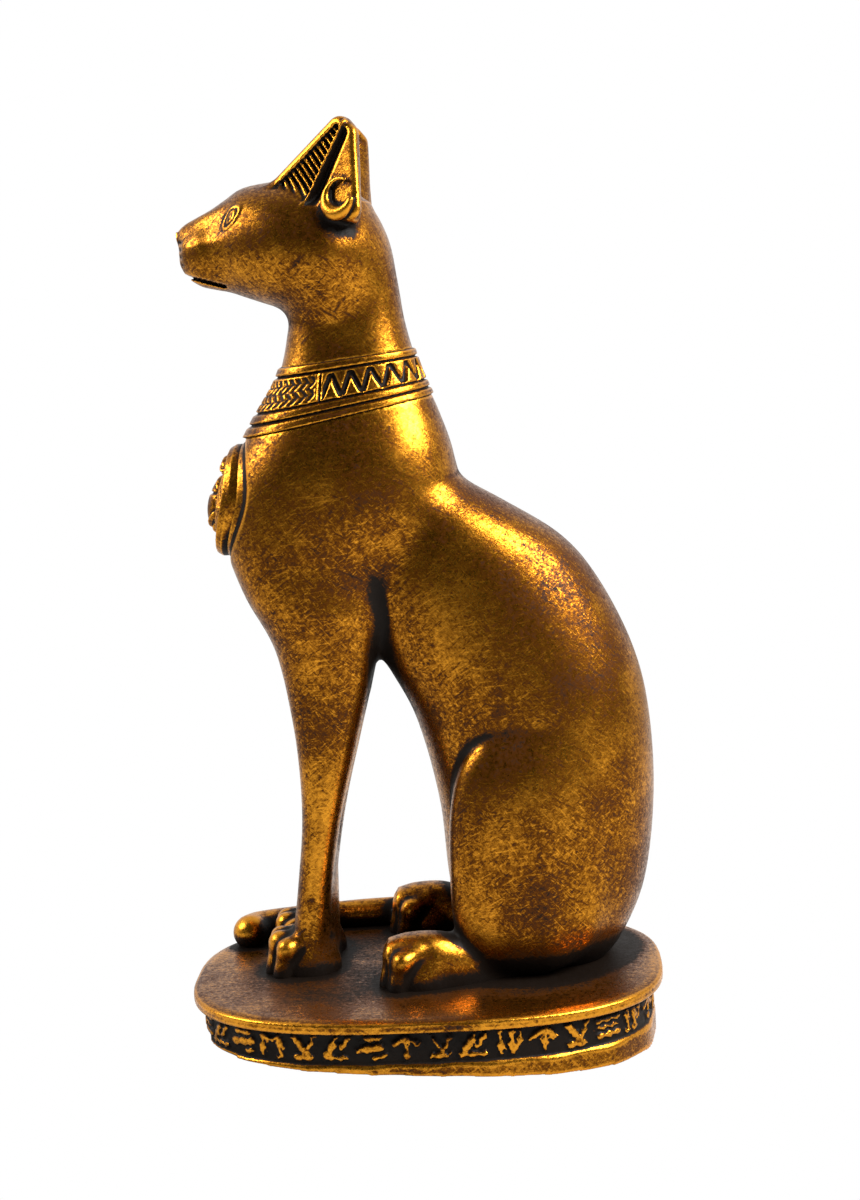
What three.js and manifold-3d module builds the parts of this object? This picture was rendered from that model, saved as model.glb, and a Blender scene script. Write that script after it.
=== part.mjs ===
// A seated cat in the ancient Egyptian manner, cast in one piece with its oval plinth.
// Millimetres, +Z up. The cat looks along -Y and +X is its left side.
// The origin is the middle of the plinth's flat underside.
import * as THREE from "three";
import { mergeVertices } from "three/addons/utils/BufferGeometryUtils.js";
import Module from "manifold-3d";

const wasm = await Module();
wasm.setup();

// Driving dimensions
const figureHeight = 238.4; // from the soles, which are sunk in the plinth, to the ear tips
const catPlace = [-9.2, -0.8, -2.3]; // off the plinth's middle, to the cat's right, forward and sunk
const plinthLength = 132;
const plinthWidth = 92;
const plinthMiddleHeight = 16.1; // on the ground, at the middle of the plinth
const plinthSlope = 3.1; // degrees that the plinth's top falls towards the front
const slabThickness = 3.4;
const slabEdgeRadius = 0.7;
const bandHeight = 8.6;
const bandInset = 3.6; // from the slab's edge in to the dark band
const footInset = 2.6; // from the slab's edge in to the foot
const signDepth = 0.9; // how far the raised signs stand out from the band
const signMargin = 1; // left bare above and below the signs
const signPitch = 9.2;
const footRise = 1.2; // how far the foot's edge is bevelled up to the band

const plinthPower = 2.72; // 2 is an ellipse, more is squarer

// Fineness of the surface
const coarseCell = 0.62; // grid step, in hundredths of the figure's height
const fineCell = 0.42; // where the paws, collar and head are
const fineBands = [[-2, 9], [62, 101]];
const gridSides = [[-21, 15], [-26, 31], [-2, 103]]; // the grid's ends along x, y and h
const figureTriangles = 7700;
const outlineSteps = 48;

// The figure is carved in shares of its own height, where 100 is sole to ear tip.
// Its frame stands on its soles: x to its left, y backwards, h up.
const share = figureHeight / 100;

// Measured along the height: height, front, back, half width
const bodyRows = [
  [-2, 9.4, 19.2, 5.2],
  [0, 8, 21, 6.4],
  [3.4, 5.4, 23.8, 8.9],
  [10.2, 3.4, 26.7, 10.5],
  [20.5, 2.6, 28.1, 10.7],
  [30.7, 0.3, 27.8, 10.4],
  [38.3, -3.3, 26.1, 9.9],
  [46, -5.7, 22.5, 9.1],
  [51.1, -5.8, 18.5, 8.2],
  [55.4, -5.5, 12.2, 6.9],
  [58.8, -5.4, 6.3, 5.1],
  [61.4, -5.1, 0.9, 3.4],
];
const columnRows = [
  [34.5, -13.2, -6, 5.2],
  [40.9, -15.9, -3.6, 7.4],
  [46, -18.6, -2.5, 8.2],
  [51.1, -20.6, 1.5, 8.7],
  [56.2, -20.9, 6.6, 8.9],
  [61.4, -19.3, 6.4, 8.6],
  [66.5, -16.5, 4.9, 7.4],
  [71.6, -13.3, 2.9, 6.1],
  [76.7, -11.9, 1.6, 5.5],
  [81.8, -10.9, 0.9, 5.4],
  [86, -9.4, -0.3, 4.8],
  [89.5, -8.5, -2.6, 3.4],
];
const forelegRows = [
  [-2, -16.6, -11.8, 3.1],
  [0, -16.2, -11.5, 3.1],
  [6, -15.4, -11, 3.0],
  [11.9, -14.5, -10.4, 2.8],
  [19.6, -13.6, -8.9, 2.8],
  [28.1, -13.7, -6.6, 3.2],
  [36.6, -14.7, -4.3, 3.8],
  [42.6, -15.6, -3.5, 4.2],
  [46.5, -17, -4.2, 3.6],
  [50, -17.4, -6, 2.3],
];
// Measured backwards from the nose: place, top, underside, half width
const headRows = [
  [-24, 88.2, 84.6, 0.6],
  [-23.2, 89.2, 83.2, 2.2],
  [-21.7, 89.9, 82.1, 3.3],
  [-20, 90.7, 81.6, 3.9],
  [-18.3, 91.7, 81.2, 4.8],
  [-16.2, 92.9, 80.4, 6.2],
  [-13.2, 93.4, 79.3, 7.5],
  [-10.2, 93.5, 78.4, 8.2],
  [-6.8, 93.1, 77.5, 8.4],
  [-4, 91.7, 78.6, 7.3],
  [-2, 89.6, 80.6, 4.9],
  [-1.3, 87.5, 82.8, 2.6],
];
const hindFootRows = [
  [-3.8, 6.2, -2, 2.6],
  [-1.5, 6.8, -2, 2.9],
  [2.2, 6.8, -2, 2.8],
  [5.5, 5.6, -2, 2.7],
  [9, 4.4, -2, 2.6],
  [14, 3.4, -2, 2.4],
];
// The tail's middle line on the plinth with its radius: x, y, h, radius
const tailRows = [
  [0, 19.8, 3.8, 2.9],
  [-6.6, 19.2, 3, 2.6],
  [-11, 13.5, 2.5, 2.1],
  [-13, 4, 2.3, 1.95],
  [-13, -7, 2.3, 1.85],
  [-11.8, -16, 2.2, 1.75],
  [-8.8, -21, 2.35, 2],
  [-6.4, -22.2, 2.5, 2.15],
];

const forelegSide = 3.6;
// The back of the head: its middle and half sizes
const craniumMiddle = new THREE.Vector3(0, -6.8, 85.4);
const craniumHalf = new THREE.Vector3(8.2, 6.5, 7.6);
const hindFootSide = 10.1;
const toeRadius = 1.12;
const toePitch = 1.75;
const toeRetreat = 0.55; // how fast the outer toes fall back behind the middle ones
const knuckleHeight = 4.7;
const pawLength = 5; // from the toes' front to the middle of the paw
const collarRelief = 0.36;

// How square each mass's section is: 2 is an ellipse
const squareness = {
  body: 2.25, column: 2.5, foreleg: 2.3, hindFoot: 2.6, head: 2.15, thigh: 3, thighSwell: 2.8,
};
// How far the soft fillets reach where the masses join
const fillet = {
  toes: 0.3, knuckle: 0.8, thigh: 0.8, thighRear: 2.2, hindPaw: 0.5, hindFoot: 1.2, web: 0.7,
  foreleg: 2.6, forepaw: 0.9, chest: 2, shoulder: 1.6, skull: 2.4, cranium: 0.6, ear: 0.9,
  earRim: 0.9, earFace: 0.8,
};
// Heights above or below which a mass can no longer be met
const reachOf = { hindFoot: 12, foreleg: 56, forepaw: 10, web: 44, tail: 8, neck: 70 };
const catFloor = 0.2; // the cat's underside, inside the plinth's slab
const tiny = 1e-4; // keeps divisions away from zero

const profileSteps = 600;
const leastValue = 1e-5; // keeps the surface off the grid's own points
const blockCells = 8; // cells along one side of the first, coarse walk
const skipShare = 2.4; // how much further than its span a cell looks for the surface

/** Samples a smooth curve through the rows and looks numbers up along the first column. */
function profile(rows) {
  const start = rows[0][0];
  const end = rows[rows.length - 1][0];
  const width = rows[0].length - 1;
  const table = new Float64Array((profileSteps + 1) * width);
  for (let column = 0; column < width; column += 1) {
    const knots = rows.map((row) => new THREE.Vector2(row[0], row[column + 1]));
    const points = new THREE.SplineCurve(knots).getPoints(profileSteps * 2);
    let segment = 0;
    for (let step = 0; step <= profileSteps; step += 1) {
      const place = start + ((end - start) * step) / profileSteps;
      while (segment < points.length - 2 && points[segment + 1].x < place) segment += 1;
      const [from, to] = [points[segment], points[segment + 1]];
      const along = THREE.MathUtils.clamp((place - from.x) / (to.x - from.x), 0, 1);
      table[step * width + column] = THREE.MathUtils.lerp(from.y, to.y, along);
    }
  }
  return {
    start,
    end,
    read(place, out) {
      const spot = THREE.MathUtils.clamp((place - start) / (end - start), 0, 1) * profileSteps;
      const step = Math.min(Math.floor(spot), profileSteps - 1);
      const along = spot - step;
      for (let column = 0; column < width; column += 1) {
        const at = step * width + column;
        out[column] = table[at] + (table[at + width] - table[at]) * along;
      }
    },
  };
}

const body = profile(bodyRows);
const column = profile(columnRows);
const foreleg = profile(forelegRows);
const head = profile(headRows);
const hindFoot = profile(hindFootRows);

/** Joins two distances with a soft fillet of the given reach. */
function blend(a, b, reach) {
  const overlap = Math.max(reach - Math.abs(a - b), 0) / reach;
  return Math.min(a, b) - (overlap * overlap * reach) / 4;
}

/** Keeps what lies inside both distances, with a soft edge. */
function meet(a, b, reach) {
  return -blend(-a, -b, reach);
}

/** A soft step from 0 to 1 between two places. */
function ease(from, to, place) {
  const along = THREE.MathUtils.clamp((place - from) / (to - from), 0, 1);
  return along * along * (3 - 2 * along);
}

/** A soft ridge of height 1 around a place. */
function ridge(place, middle, halfWidth) {
  return 1 - ease(0, halfWidth, Math.abs(place - middle));
}

/** How far a point lies outside a rounded section with two half sizes. */
function sectionGap(p, q, halfP, halfQ, power) {
  const reach = Math.hypot(p, q);
  const ratio = ((Math.abs(p) / halfP) ** power + (Math.abs(q) / halfQ) ** power) ** (1 / power);
  if (ratio < tiny) return -Math.min(halfP, halfQ);
  return reach - reach / ratio;
}

/** How far a point lies outside an ellipsoid. */
function ellipsoidGap(x, y, h, halfX, halfY, halfH) {
  const near = Math.hypot(x / halfX, y / halfY, h / halfH);
  const slope = Math.hypot(x / halfX ** 2, y / halfY ** 2, h / halfH ** 2);
  if (slope < tiny) return -Math.min(halfX, halfY, halfH);
  return (near * (near - 1)) / slope;
}

/** How far a point lies outside a tapering rod between two ends. */
function rodGap(x, y, h, a, b) {
  const [bx, by, bh] = [b[0] - a[0], b[1] - a[1], b[2] - a[2]];
  const [px, py, ph] = [x - a[0], y - a[1], h - a[2]];
  const along = THREE.MathUtils.clamp((px * bx + py * by + ph * bh) / (bx * bx + by * by + bh * bh), 0, 1);
  const radius = a[3] + (b[3] - a[3]) * along;
  return Math.hypot(px - bx * along, py - by * along, ph - bh * along) - radius;
}

const read = [0, 0, 0];

/** A mass measured along the height. */
function uprightGap(curve, side, x, y, h, power) {
  curve.read(h, read);
  const [front, back, half] = read;
  const gap = sectionGap(x - side, y - (front + back) / 2, half, (back - front) / 2, power);
  return Math.max(gap, h - curve.end, curve.start - h);
}

/** A mass measured backwards from the nose or toes. */
function lyingGap(curve, side, x, y, h, power) {
  curve.read(y, read);
  const [top, low, half] = read;
  const gap = sectionGap(x - side, h - (top + low) / 2, half, (top - low) / 2, power);
  return Math.max(gap, y - curve.end, curve.start - y);
}

/** Four bent toes side by side over a rounded paw, with a clear line between each two. */
function pawGap(x, y, h, side, front) {
  let gap = ellipsoidGap(x - side, y - front - pawLength, h - 1.2, 3.4, 4.2, 4.6);
  for (let toe = -1.5; toe <= 1.5; toe += 1) {
    const across = side + toe * toePitch;
    const back = front + toeRetreat * toe * toe;
    const knuckle = [across, back + 1.9, knuckleHeight - 0.2 * toe * toe, toeRadius];
    const wrist = [side + toe * toePitch * 0.6, front + pawLength, knuckleHeight + 0.4, toeRadius];
    const tip = [across, back + toeRadius, toeRadius, toeRadius];
    const upper = rodGap(x, y, h, wrist, knuckle);
    const rods = blend(upper, rodGap(x, y, h, knuckle, tip), fillet.knuckle);
    gap = blend(gap, rods, fillet.toes);
  }
  return gap;
}

const tailPath = new THREE.CatmullRomCurve3(tailRows.map((row) => new THREE.Vector3(...row.slice(0, 3))));
const tailWidth = profile(tailRows.map((row, index) => [index / (tailRows.length - 1), row[3]]));
const tailSteps = 28;
const tailBeads = tailPath.getPoints(tailSteps).map((point, index) => {
  tailWidth.read(index / tailSteps, read);
  return [point.x, point.y, point.z, read[0]];
});

/** The tail as a row of tapering rods. */
function tailGap(x, y, h) {
  if (h > reachOf.tail || x > reachOf.tail) return Math.max(h, x) - reachOf.tail + tailRows[0][3];
  let gap = Infinity;
  for (let bead = 0; bead < tailSteps; bead += 1) {
    gap = Math.min(gap, rodGap(x, y, h, tailBeads[bead], tailBeads[bead + 1]));
  }
  return gap;
}

// The ear's plane, from its front foot to its rear foot and up to its tip
const earFront = new THREE.Vector3(3.7, -11.7, 92.05);
const earRear = new THREE.Vector3(8.9, -3.3, 89.6);
const earTip = new THREE.Vector3(6.9, -4.25, 98.35);
const earRound = 1.5;
const earRimFront = 0.95;
const earShoulder = [1.27, -0.67]; // from the tip to the blunt corner behind it
const earAlong = earRear.clone().sub(earFront).normalize();
const earOut = earRear.clone().sub(earFront).cross(earTip.clone().sub(earFront)).normalize();
const earUp = earOut.clone().cross(earAlong);
const earLength = earRear.clone().sub(earFront).dot(earAlong);
const earTipAlong = earTip.clone().sub(earFront).dot(earAlong);
const earTipUp = earTip.clone().sub(earFront).dot(earUp);

/** How far a flat point lies to the left of the straight line that runs from a to b. */
function leftOf(u, v, a, b) {
  const length = Math.hypot(b[0] - a[0], b[1] - a[1]);
  return ((v - a[1]) * (b[0] - a[0]) - (u - a[0]) * (b[1] - a[1])) / length;
}

/** How far a flat point lies outside a plate whose corners run clockwise. */
function plateGap(u, v, corners) {
  let nearest = Infinity;
  let outside = -Infinity;
  for (let corner = 0; corner < corners.length; corner += 1) {
    const a = corners[corner];
    const b = corners[(corner + 1) % corners.length];
    const [du, dv] = [b[0] - a[0], b[1] - a[1]];
    const along = THREE.MathUtils.clamp(((u - a[0]) * du + (v - a[1]) * dv) / (du * du + dv * dv), 0, 1);
    nearest = Math.min(nearest, Math.hypot(u - a[0] - du * along, v - a[1] - dv * along));
    outside = Math.max(outside, leftOf(u, v, a, b));
  }
  return outside > 0 ? nearest : -nearest;
}

/** A point in the ear's own frame: along the foot, up to the tip and outwards. */
function earPlace(x, y, h, out) {
  const [px, py, ph] = [x - earFront.x, y - earFront.y, h - earFront.z];
  out[0] = px * earAlong.x + py * earAlong.y + ph * earAlong.z;
  out[1] = px * earUp.x + py * earUp.y + ph * earUp.z;
  out[2] = px * earOut.x + py * earOut.y + ph * earOut.z;
}

const earSpot = [0, 0, 0];

const earBlunt = [earTipAlong + earShoulder[0], earTipUp + earShoulder[1]];
const earCorners = [[0, 0], [earTipAlong, earTipUp], earBlunt, [earLength, 0]];
const spineFoot = [earLength * 0.45, -0.6];
const spineTop = [earTipAlong + 0.6, earTipUp - 0.3];

/** The ear: a leaf with a shallow front half, a middle ridge, a deep fold behind it and a round back. */
function earGap(x, y, h) {
  earPlace(x, y, h, earSpot);
  const [u, v, w] = earSpot;
  const outline = plateGap(u, v, earCorners) - earRound;
  const rise = THREE.MathUtils.clamp(v / earTipUp, 0, 1);
  const middle = earTipAlong * (0.55 + 0.45 * rise);
  const bulge = 3.8 * (1 - rise * 0.72) * Math.sqrt(Math.max(0, 1 - ((u - middle) / (7.5 - 5 * rise)) ** 2));
  const spine = leftOf(u, v, spineFoot, spineTop);
  const frontHalf = ease(0, 0.3, spine);
  const shallow = 0.5 * ease(earRimFront, earRimFront + 0.3, -outline) * frontHalf;
  const fold = 0.1 + 0.35 * (1 - rise);
  const deep = 0.9 * ease(0, 0.4, -spine) * (1 - ease(fold, fold + 1.2, -spine)) * ease(0.5, 1.2, -outline);
  const hollow = shallow + deep - 0.4 * ridge(spine, 0.1, 0.4);
  const leaf = meet(w - 0.55 + hollow, -w - 0.5 - bulge, fillet.earFace);
  return meet(outline, leaf, fillet.earRim);
}

// The hoop in the ear
const hoopMiddle = new THREE.Vector3(9.1, -4.5, 91);
const hoopRadius = 1.7;
const hoopThickest = THREE.MathUtils.degToRad(-100);
const hoopMouth = THREE.MathUtils.degToRad(40);
const hoopMouthHalf = THREE.MathUtils.degToRad(34);
const hoopSpot = [0, 0, 0];
earPlace(hoopMiddle.x, hoopMiddle.y, hoopMiddle.z, hoopSpot);

/** A crescent hoop, thick below and thin beside its mouth. */
function hoopGap(x, y, h) {
  earPlace(x, y, h, earSpot);
  const [u, v, w] = [earSpot[0] - hoopSpot[0], earSpot[1] - hoopSpot[1], earSpot[2] - hoopSpot[2]];
  const turn = Math.atan2(v, u);
  const thick = 0.2 + 0.55 * (0.5 + 0.5 * Math.cos(turn - hoopThickest)) ** 1.5;
  const ring = Math.hypot(Math.hypot(u, v * 0.88) - hoopRadius, w) - thick;
  return Math.max(ring, (hoopMouthHalf - Math.abs(turn - hoopMouth)) * hoopRadius);
}

/** How high a point lies on the collar: 0 at its lower edge, 1 at its upper edge. */
function collarPlace(y, h) {
  const lower = 64.4 + (y + 17.6) * 0.18;
  const upper = 72.5 + (y + 12.2) * 0.091;
  return (h - lower) / (upper - lower);
}

/** The collar's raised bands and the grooves between them. */
function collarRise(x, y, h) {
  if (h < 60 || h > 77) return 0;
  const place = collarPlace(y, h);
  const plate = ease(-0.05, 0.02, place) * (1 - ease(0.98, 1.04, place));
  const grooves = ridge(place, 0.84, 0.05) + ridge(place, 0.34, 0.05) + ridge(place, 0.17, 0.05);
  return collarRelief * (plate - 0.8 * grooves * plate);
}

const pendantHeight = 57.2;
const pendantHalfWidth = 5.6;
const pendantHalfHeight = 6.5;
const pendantDisc = 4.3; // from the pendant's middle up to the small disc over the beetle

/** The winged beetle's plaque, which follows the chest. */
function pendantRise(x, y, h) {
  if (y > -14 || h < 48 || h > 66) return -1;
  const up = h - pendantHeight;
  const reach = Math.hypot(x / pendantHalfWidth, up / pendantHalfHeight);
  const plate = 0.85 * (1 - ease(0.96, 1.04, reach));
  const rim = 0.4 * ridge(reach, 0.9, 0.1);
  const beetle = Math.max(0, 1 - (x / 2) ** 2 - ((up + 0.4) / 3.4) ** 2);
  const disc = Math.max(0, 1 - (x / 1.3) ** 2 - ((up - pendantDisc) / 1.3) ** 2);
  return plate + rim + 1.15 * Math.sqrt(beetle) + 0.6 * Math.sqrt(disc);
}

const eyeMiddle = new THREE.Vector3(4.7, -17.1, 89.5);
const eyeAlong = new THREE.Vector3(0.14, 0.745, 0.65);
const eyeAcross = new THREE.Vector3(0.63, 0.443, -0.644);
const eyeHalfLength = 1.5;
const eyeHalfWidth = 0.9;
// The hollow beside the bridge of the nose runs from the eye to the nose
const bridgeHollow = [[3.9, -18.4, 89.2, 0], [1.5, -22.6, 88.2, 0]];
const nosePad = new THREE.Vector3(0, -24, 88);
const mouthCorner = -18.4;

/** How high the mouth's line runs. */
function mouthHeight(y) {
  return 82.75 - (y + 21.7) * 0.3;
}

/** The head's own carving: eyes, the hollows beside the nose, nose pad and mouth. */
function faceRise(x, y, h) {
  const [px, py, ph] = [x - eyeMiddle.x, y - eyeMiddle.y, h - eyeMiddle.z];
  const along = px * eyeAlong.x + py * eyeAlong.y + ph * eyeAlong.z;
  const across = px * eyeAcross.x + py * eyeAcross.y + ph * eyeAcross.z;
  const eye = Math.hypot(px, py, ph) < 3 ? Math.hypot(along / eyeHalfLength, across / eyeHalfWidth) : 9;
  let rise = 0.3 * (1 - ease(0.85, 1.2, eye)) - 0.2 * (1 - ease(0, 0.6, eye));
  rise -= 0.5 * (1 - ease(0, 2.3, rodGap(x, y, h, ...bridgeHollow)));
  const slit = 1 - ease(0.1, 0.4, Math.abs(h - mouthHeight(y)));
  rise -= 0.7 * slit * (1 - ease(mouthCorner - 0.3, mouthCorner + 0.3, y));
  rise += 0.25 * (1 - ease(0.3, 1.5, Math.hypot(x - nosePad.x, y - nosePad.y, h - nosePad.z)));
  return rise;
}

// The thigh: its middle and half sizes, boxy seen from the side
const thighMiddle = new THREE.Vector3(8.2, 13.4, 11);
const thighHalf = new THREE.Vector3(4.3, 9.7, 19.2);
const thighHalfBehind = 8.2; // from its middle to its rear edge
const thighHalfBelow = 9.8; // from its middle down to its lower edge
const thighRear = [14, 21]; // where the thigh sinks into the rump
const thighSink = 1.4;

/** How far a point lies outside the thigh. */
function thighGap(x, y, h) {
  const length = y > thighMiddle.y ? thighHalfBehind : thighHalf.y;
  const across = Math.abs(x - thighMiddle.x) / thighHalf.x;
  const back = Math.abs(y - thighMiddle.y) / length;
  const tall = h > thighMiddle.z ? thighHalf.z : thighHalfBelow;
  const up = Math.abs(h - thighMiddle.z) / tall;
  const power = squareness.thigh;
  const flat = Math.max((back ** power + up ** power) ** (1 / power), tiny);
  const swell = squareness.thighSwell;
  const near = Math.max((across ** swell + flat ** swell) ** (1 / swell), tiny);
  const [outward, sideways] = [(across / near) ** (swell - 1), (flat / near) ** (swell - 1)];
  const alongBack = (sideways * (back / flat) ** (power - 1)) / length;
  const alongUp = (sideways * (up / flat) ** (power - 1)) / tall;
  const slope = Math.hypot(outward / thighHalf.x, alongBack, alongUp);
  const sink = thighSink * ease(...thighRear, y);
  return Math.max((near - 1) / Math.max(slope, tiny), -thighHalf.x) + sink;
}

/** A hind foot with its paw, turned in towards the heel. */
function hindFootGap(x, y, h) {
  const side = hindFootSide - 3.4 * ease(1, 13, y);
  const foot = lyingGap(hindFoot, side, x, y, h, squareness.hindFoot);
  return blend(foot, pawGap(x, y, h, hindFootSide, -5.2), fillet.hindPaw);
}

/** A foreleg and the web of solid casting between the two. */
function forelegGap(x, y, h) {
  const leg = uprightGap(foreleg, forelegSide, x, y, h, squareness.foreleg);
  const web = Math.max(sectionGap(x, y + 12.2 - 0.03 * h, 4.2, 1.7, 2), h - reachOf.web);
  return blend(leg, web, fillet.web);
}

/** The head, round behind. */
function skullGap(x, y, h) {
  const [across, back, up] = [x - craniumMiddle.x, y - craniumMiddle.y, h - craniumMiddle.z];
  const cranium = ellipsoidGap(across, back, up, craniumHalf.x, craniumHalf.y, craniumHalf.z);
  return blend(lyingGap(head, 0, x, y, h, squareness.head), cranium, fillet.cranium);
}

/** How far a point lies outside the cat. */
function catGap(x, y, h) {
  const side = Math.abs(x);
  let gap = uprightGap(body, 0, side, y, h, squareness.body);
  gap = blend(gap, thighGap(side, y, h), fillet.thigh + fillet.thighRear * ease(...thighRear, y));
  if (h < reachOf.hindFoot) gap = blend(gap, hindFootGap(side, y, h), fillet.hindFoot);
  if (h < reachOf.foreleg) gap = blend(gap, forelegGap(side, y, h), fillet.foreleg);
  if (h < reachOf.forepaw) gap = blend(gap, pawGap(side, y, h, forelegSide, -19.2), fillet.forepaw);
  const chest = uprightGap(column, 0, side, y, h, squareness.column);
  const shoulder = ease(39, 45, h) * (1 - ease(50, 60, h));
  gap = blend(gap, chest, fillet.chest + fillet.shoulder * shoulder);
  if (h > reachOf.neck) {
    const skull = skullGap(side, y, h) - faceRise(side, y, h);
    gap = blend(gap, skull, fillet.skull);
    gap = blend(gap, earGap(side, y, h), fillet.ear);
    gap = Math.min(gap, hoopGap(side, y, h));
  }
  gap = Math.min(gap, tailGap(x, y, h)) - collarRise(side, y, h);
  gap = Math.min(gap, gap - pendantRise(x, y, h));
  return Math.max(gap, catFloor - h);
}

/** The grid's places along one axis, closer together inside the fine bands. */
function gridPlaces(low, high, bands) {
  const places = [low];
  while (places[places.length - 1] < high || places.length % blockCells !== 1) {
    const last = places[places.length - 1];
    const isFine = bands.some(([from, to]) => last >= from && last < to);
    places.push(last + (isFine ? fineCell : coarseCell));
  }
  return places;
}

/** Walks the grid cells that the surface crosses and gives the closed surface as triangles. */
function surface(gapAt, places) {
  const [nx, ny, nz] = places.map((list) => list.length);
  const values = new Float32Array(nx * ny * nz).fill(NaN);
  const at = (i, j, k) => gapAt(places[0][i], places[1][j], places[2][k]);
  const node = (i, j, k) => {
    const index = (k * ny + j) * nx + i;
    if (Number.isNaN(values[index])) {
      const value = at(i, j, k);
      values[index] = Math.abs(value) < leastValue ? leastValue : value;
    }
    return index;
  };
  const points = [];
  const faces = [];
  const made = new Map();
  const strides = [1, nx, nx * ny];
  const place = (a, b) => {
    const [from, to] = a < b ? [a, b] : [b, a];
    const key = from * 8 + edgeKind(to - from, strides);
    let index = made.get(key);
    if (index === undefined) {
      const along = values[from] / (values[from] - values[to]);
      index = points.length / 3;
      made.set(key, index);
      for (let axis = 0; axis < 3; axis += 1) {
        const first = places[axis][gridPlace(from, axis, nx, ny)];
        const second = places[axis][gridPlace(to, axis, nx, ny)];
        points.push(first + (second - first) * along);
      }
    }
    return index;
  };
  const corners = new Int32Array(8);
  const march = (i, j, k) => {
    let inside = 0;
    for (let corner = 0; corner < 8; corner += 1) {
      corners[corner] = node(i + (corner & 1), j + ((corner >> 1) & 1), k + (corner >> 2));
      if (values[corners[corner]] < 0) inside += 1;
    }
    if (inside === 0 || inside === 8) return;
    for (const tetra of tetras) {
      let mask = 0;
      for (let corner = 0; corner < 4; corner += 1) {
        if (values[corners[tetra.corners[corner]]] < 0) mask |= 1 << corner;
      }
      for (const triangle of tetra.cases[mask]) {
        for (const [a, b] of triangle) faces.push(place(corners[a], corners[b]));
      }
    }
  };
  const visit = (i, j, k, span) => {
    const half = span / 2;
    if (Math.abs(at(i + half, j + half, k + half)) > span * coarseCell * skipShare) return;
    if (span > 2) {
      for (let corner = 0; corner < 8; corner += 1) {
        visit(i + (corner & 1) * half, j + ((corner >> 1) & 1) * half, k + (corner >> 2) * half, half);
      }
      return;
    }
    for (let corner = 0; corner < 8; corner += 1) {
      march(i + (corner & 1), j + ((corner >> 1) & 1), k + (corner >> 2));
    }
  };
  for (let k = 0; k < nz - 1; k += blockCells) {
    for (let j = 0; j < ny - 1; j += blockCells) {
      for (let i = 0; i < nx - 1; i += blockCells) visit(i, j, k, blockCells);
    }
  }
  return { points: Float64Array.from(points), faces: Int32Array.from(faces) };
}

/** Which of the seven directions of a cell an edge takes. */
function edgeKind(difference, [, row, layer]) {
  const up = Math.floor(difference / layer);
  const across = Math.floor((difference - up * layer) / row);
  return up * 4 + across * 2 + (difference - up * layer - across * row);
}

/** A grid node's count along one axis. */
function gridPlace(index, axis, nx, ny) {
  if (axis === 0) return index % nx;
  if (axis === 1) return Math.floor(index / nx) % ny;
  return Math.floor(index / (nx * ny));
}

/** Cuts a cell into six tetrahedra, with the triangles for each way the surface can cross. */
const tetras = [[1, 2, 4], [2, 4, 1], [4, 1, 2], [1, 4, 2], [4, 2, 1], [2, 1, 4]].map(([a, b], order) => {
  const corners = [0, a, a | b, 7];
  const turned = order > 2;
  const cases = [];
  for (let mask = 0; mask < 16; mask += 1) cases.push(crossing(corners, mask, turned));
  return { corners, cases };
});

/** The triangles of one tetrahedron, facing from the inner corners to the outer ones. */
function crossing(corners, mask, turned) {
  const inner = [0, 1, 2, 3].filter((corner) => mask & (1 << corner));
  const outer = [0, 1, 2, 3].filter((corner) => !(mask & (1 << corner)));
  if (inner.length === 0 || outer.length === 0) return [];
  const order = inner.length === 3 ? [...outer, ...inner] : [...inner, ...outer];
  let swaps = 0;
  for (let a = 0; a < 4; a += 1) {
    for (let b = a + 1; b < 4; b += 1) if (order[a] > order[b]) swaps += 1;
  }
  if (swaps % 2 === 1) [order[2], order[3]] = [order[3], order[2]];
  const [a, b, c, d] = order.map((corner) => corners[corner]);
  let triangles = [[[a, b], [a, c], [a, d]]];
  if (inner.length === 2) triangles = [[[a, c], [a, d], [b, d]], [[a, c], [b, d], [b, c]]];
  if (inner.length === 3) triangles = [[[a, b], [a, d], [a, c]]];
  return turned ? triangles.map(([p, q, r]) => [p, r, q]) : triangles;
}

const quadricSize = 10;
const flatEnough = 0.25; // cosine of the largest turn a face may make
const leastShape = 0.02; // smallest share of height to longest side
const largestError = 1; // squared
const smallestError = 1e-5; // squared, where the merging starts
const limitGrowth = 1.5;
const slowPass = 0.9; // a pass that keeps more than this share of the faces raises the limit
const lengthPenalty = 2e-5; // keeps short edges first where the surface is flat
const middlePull = 1e-3; // pulls a merged point to the middle where the surface is flat

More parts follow.
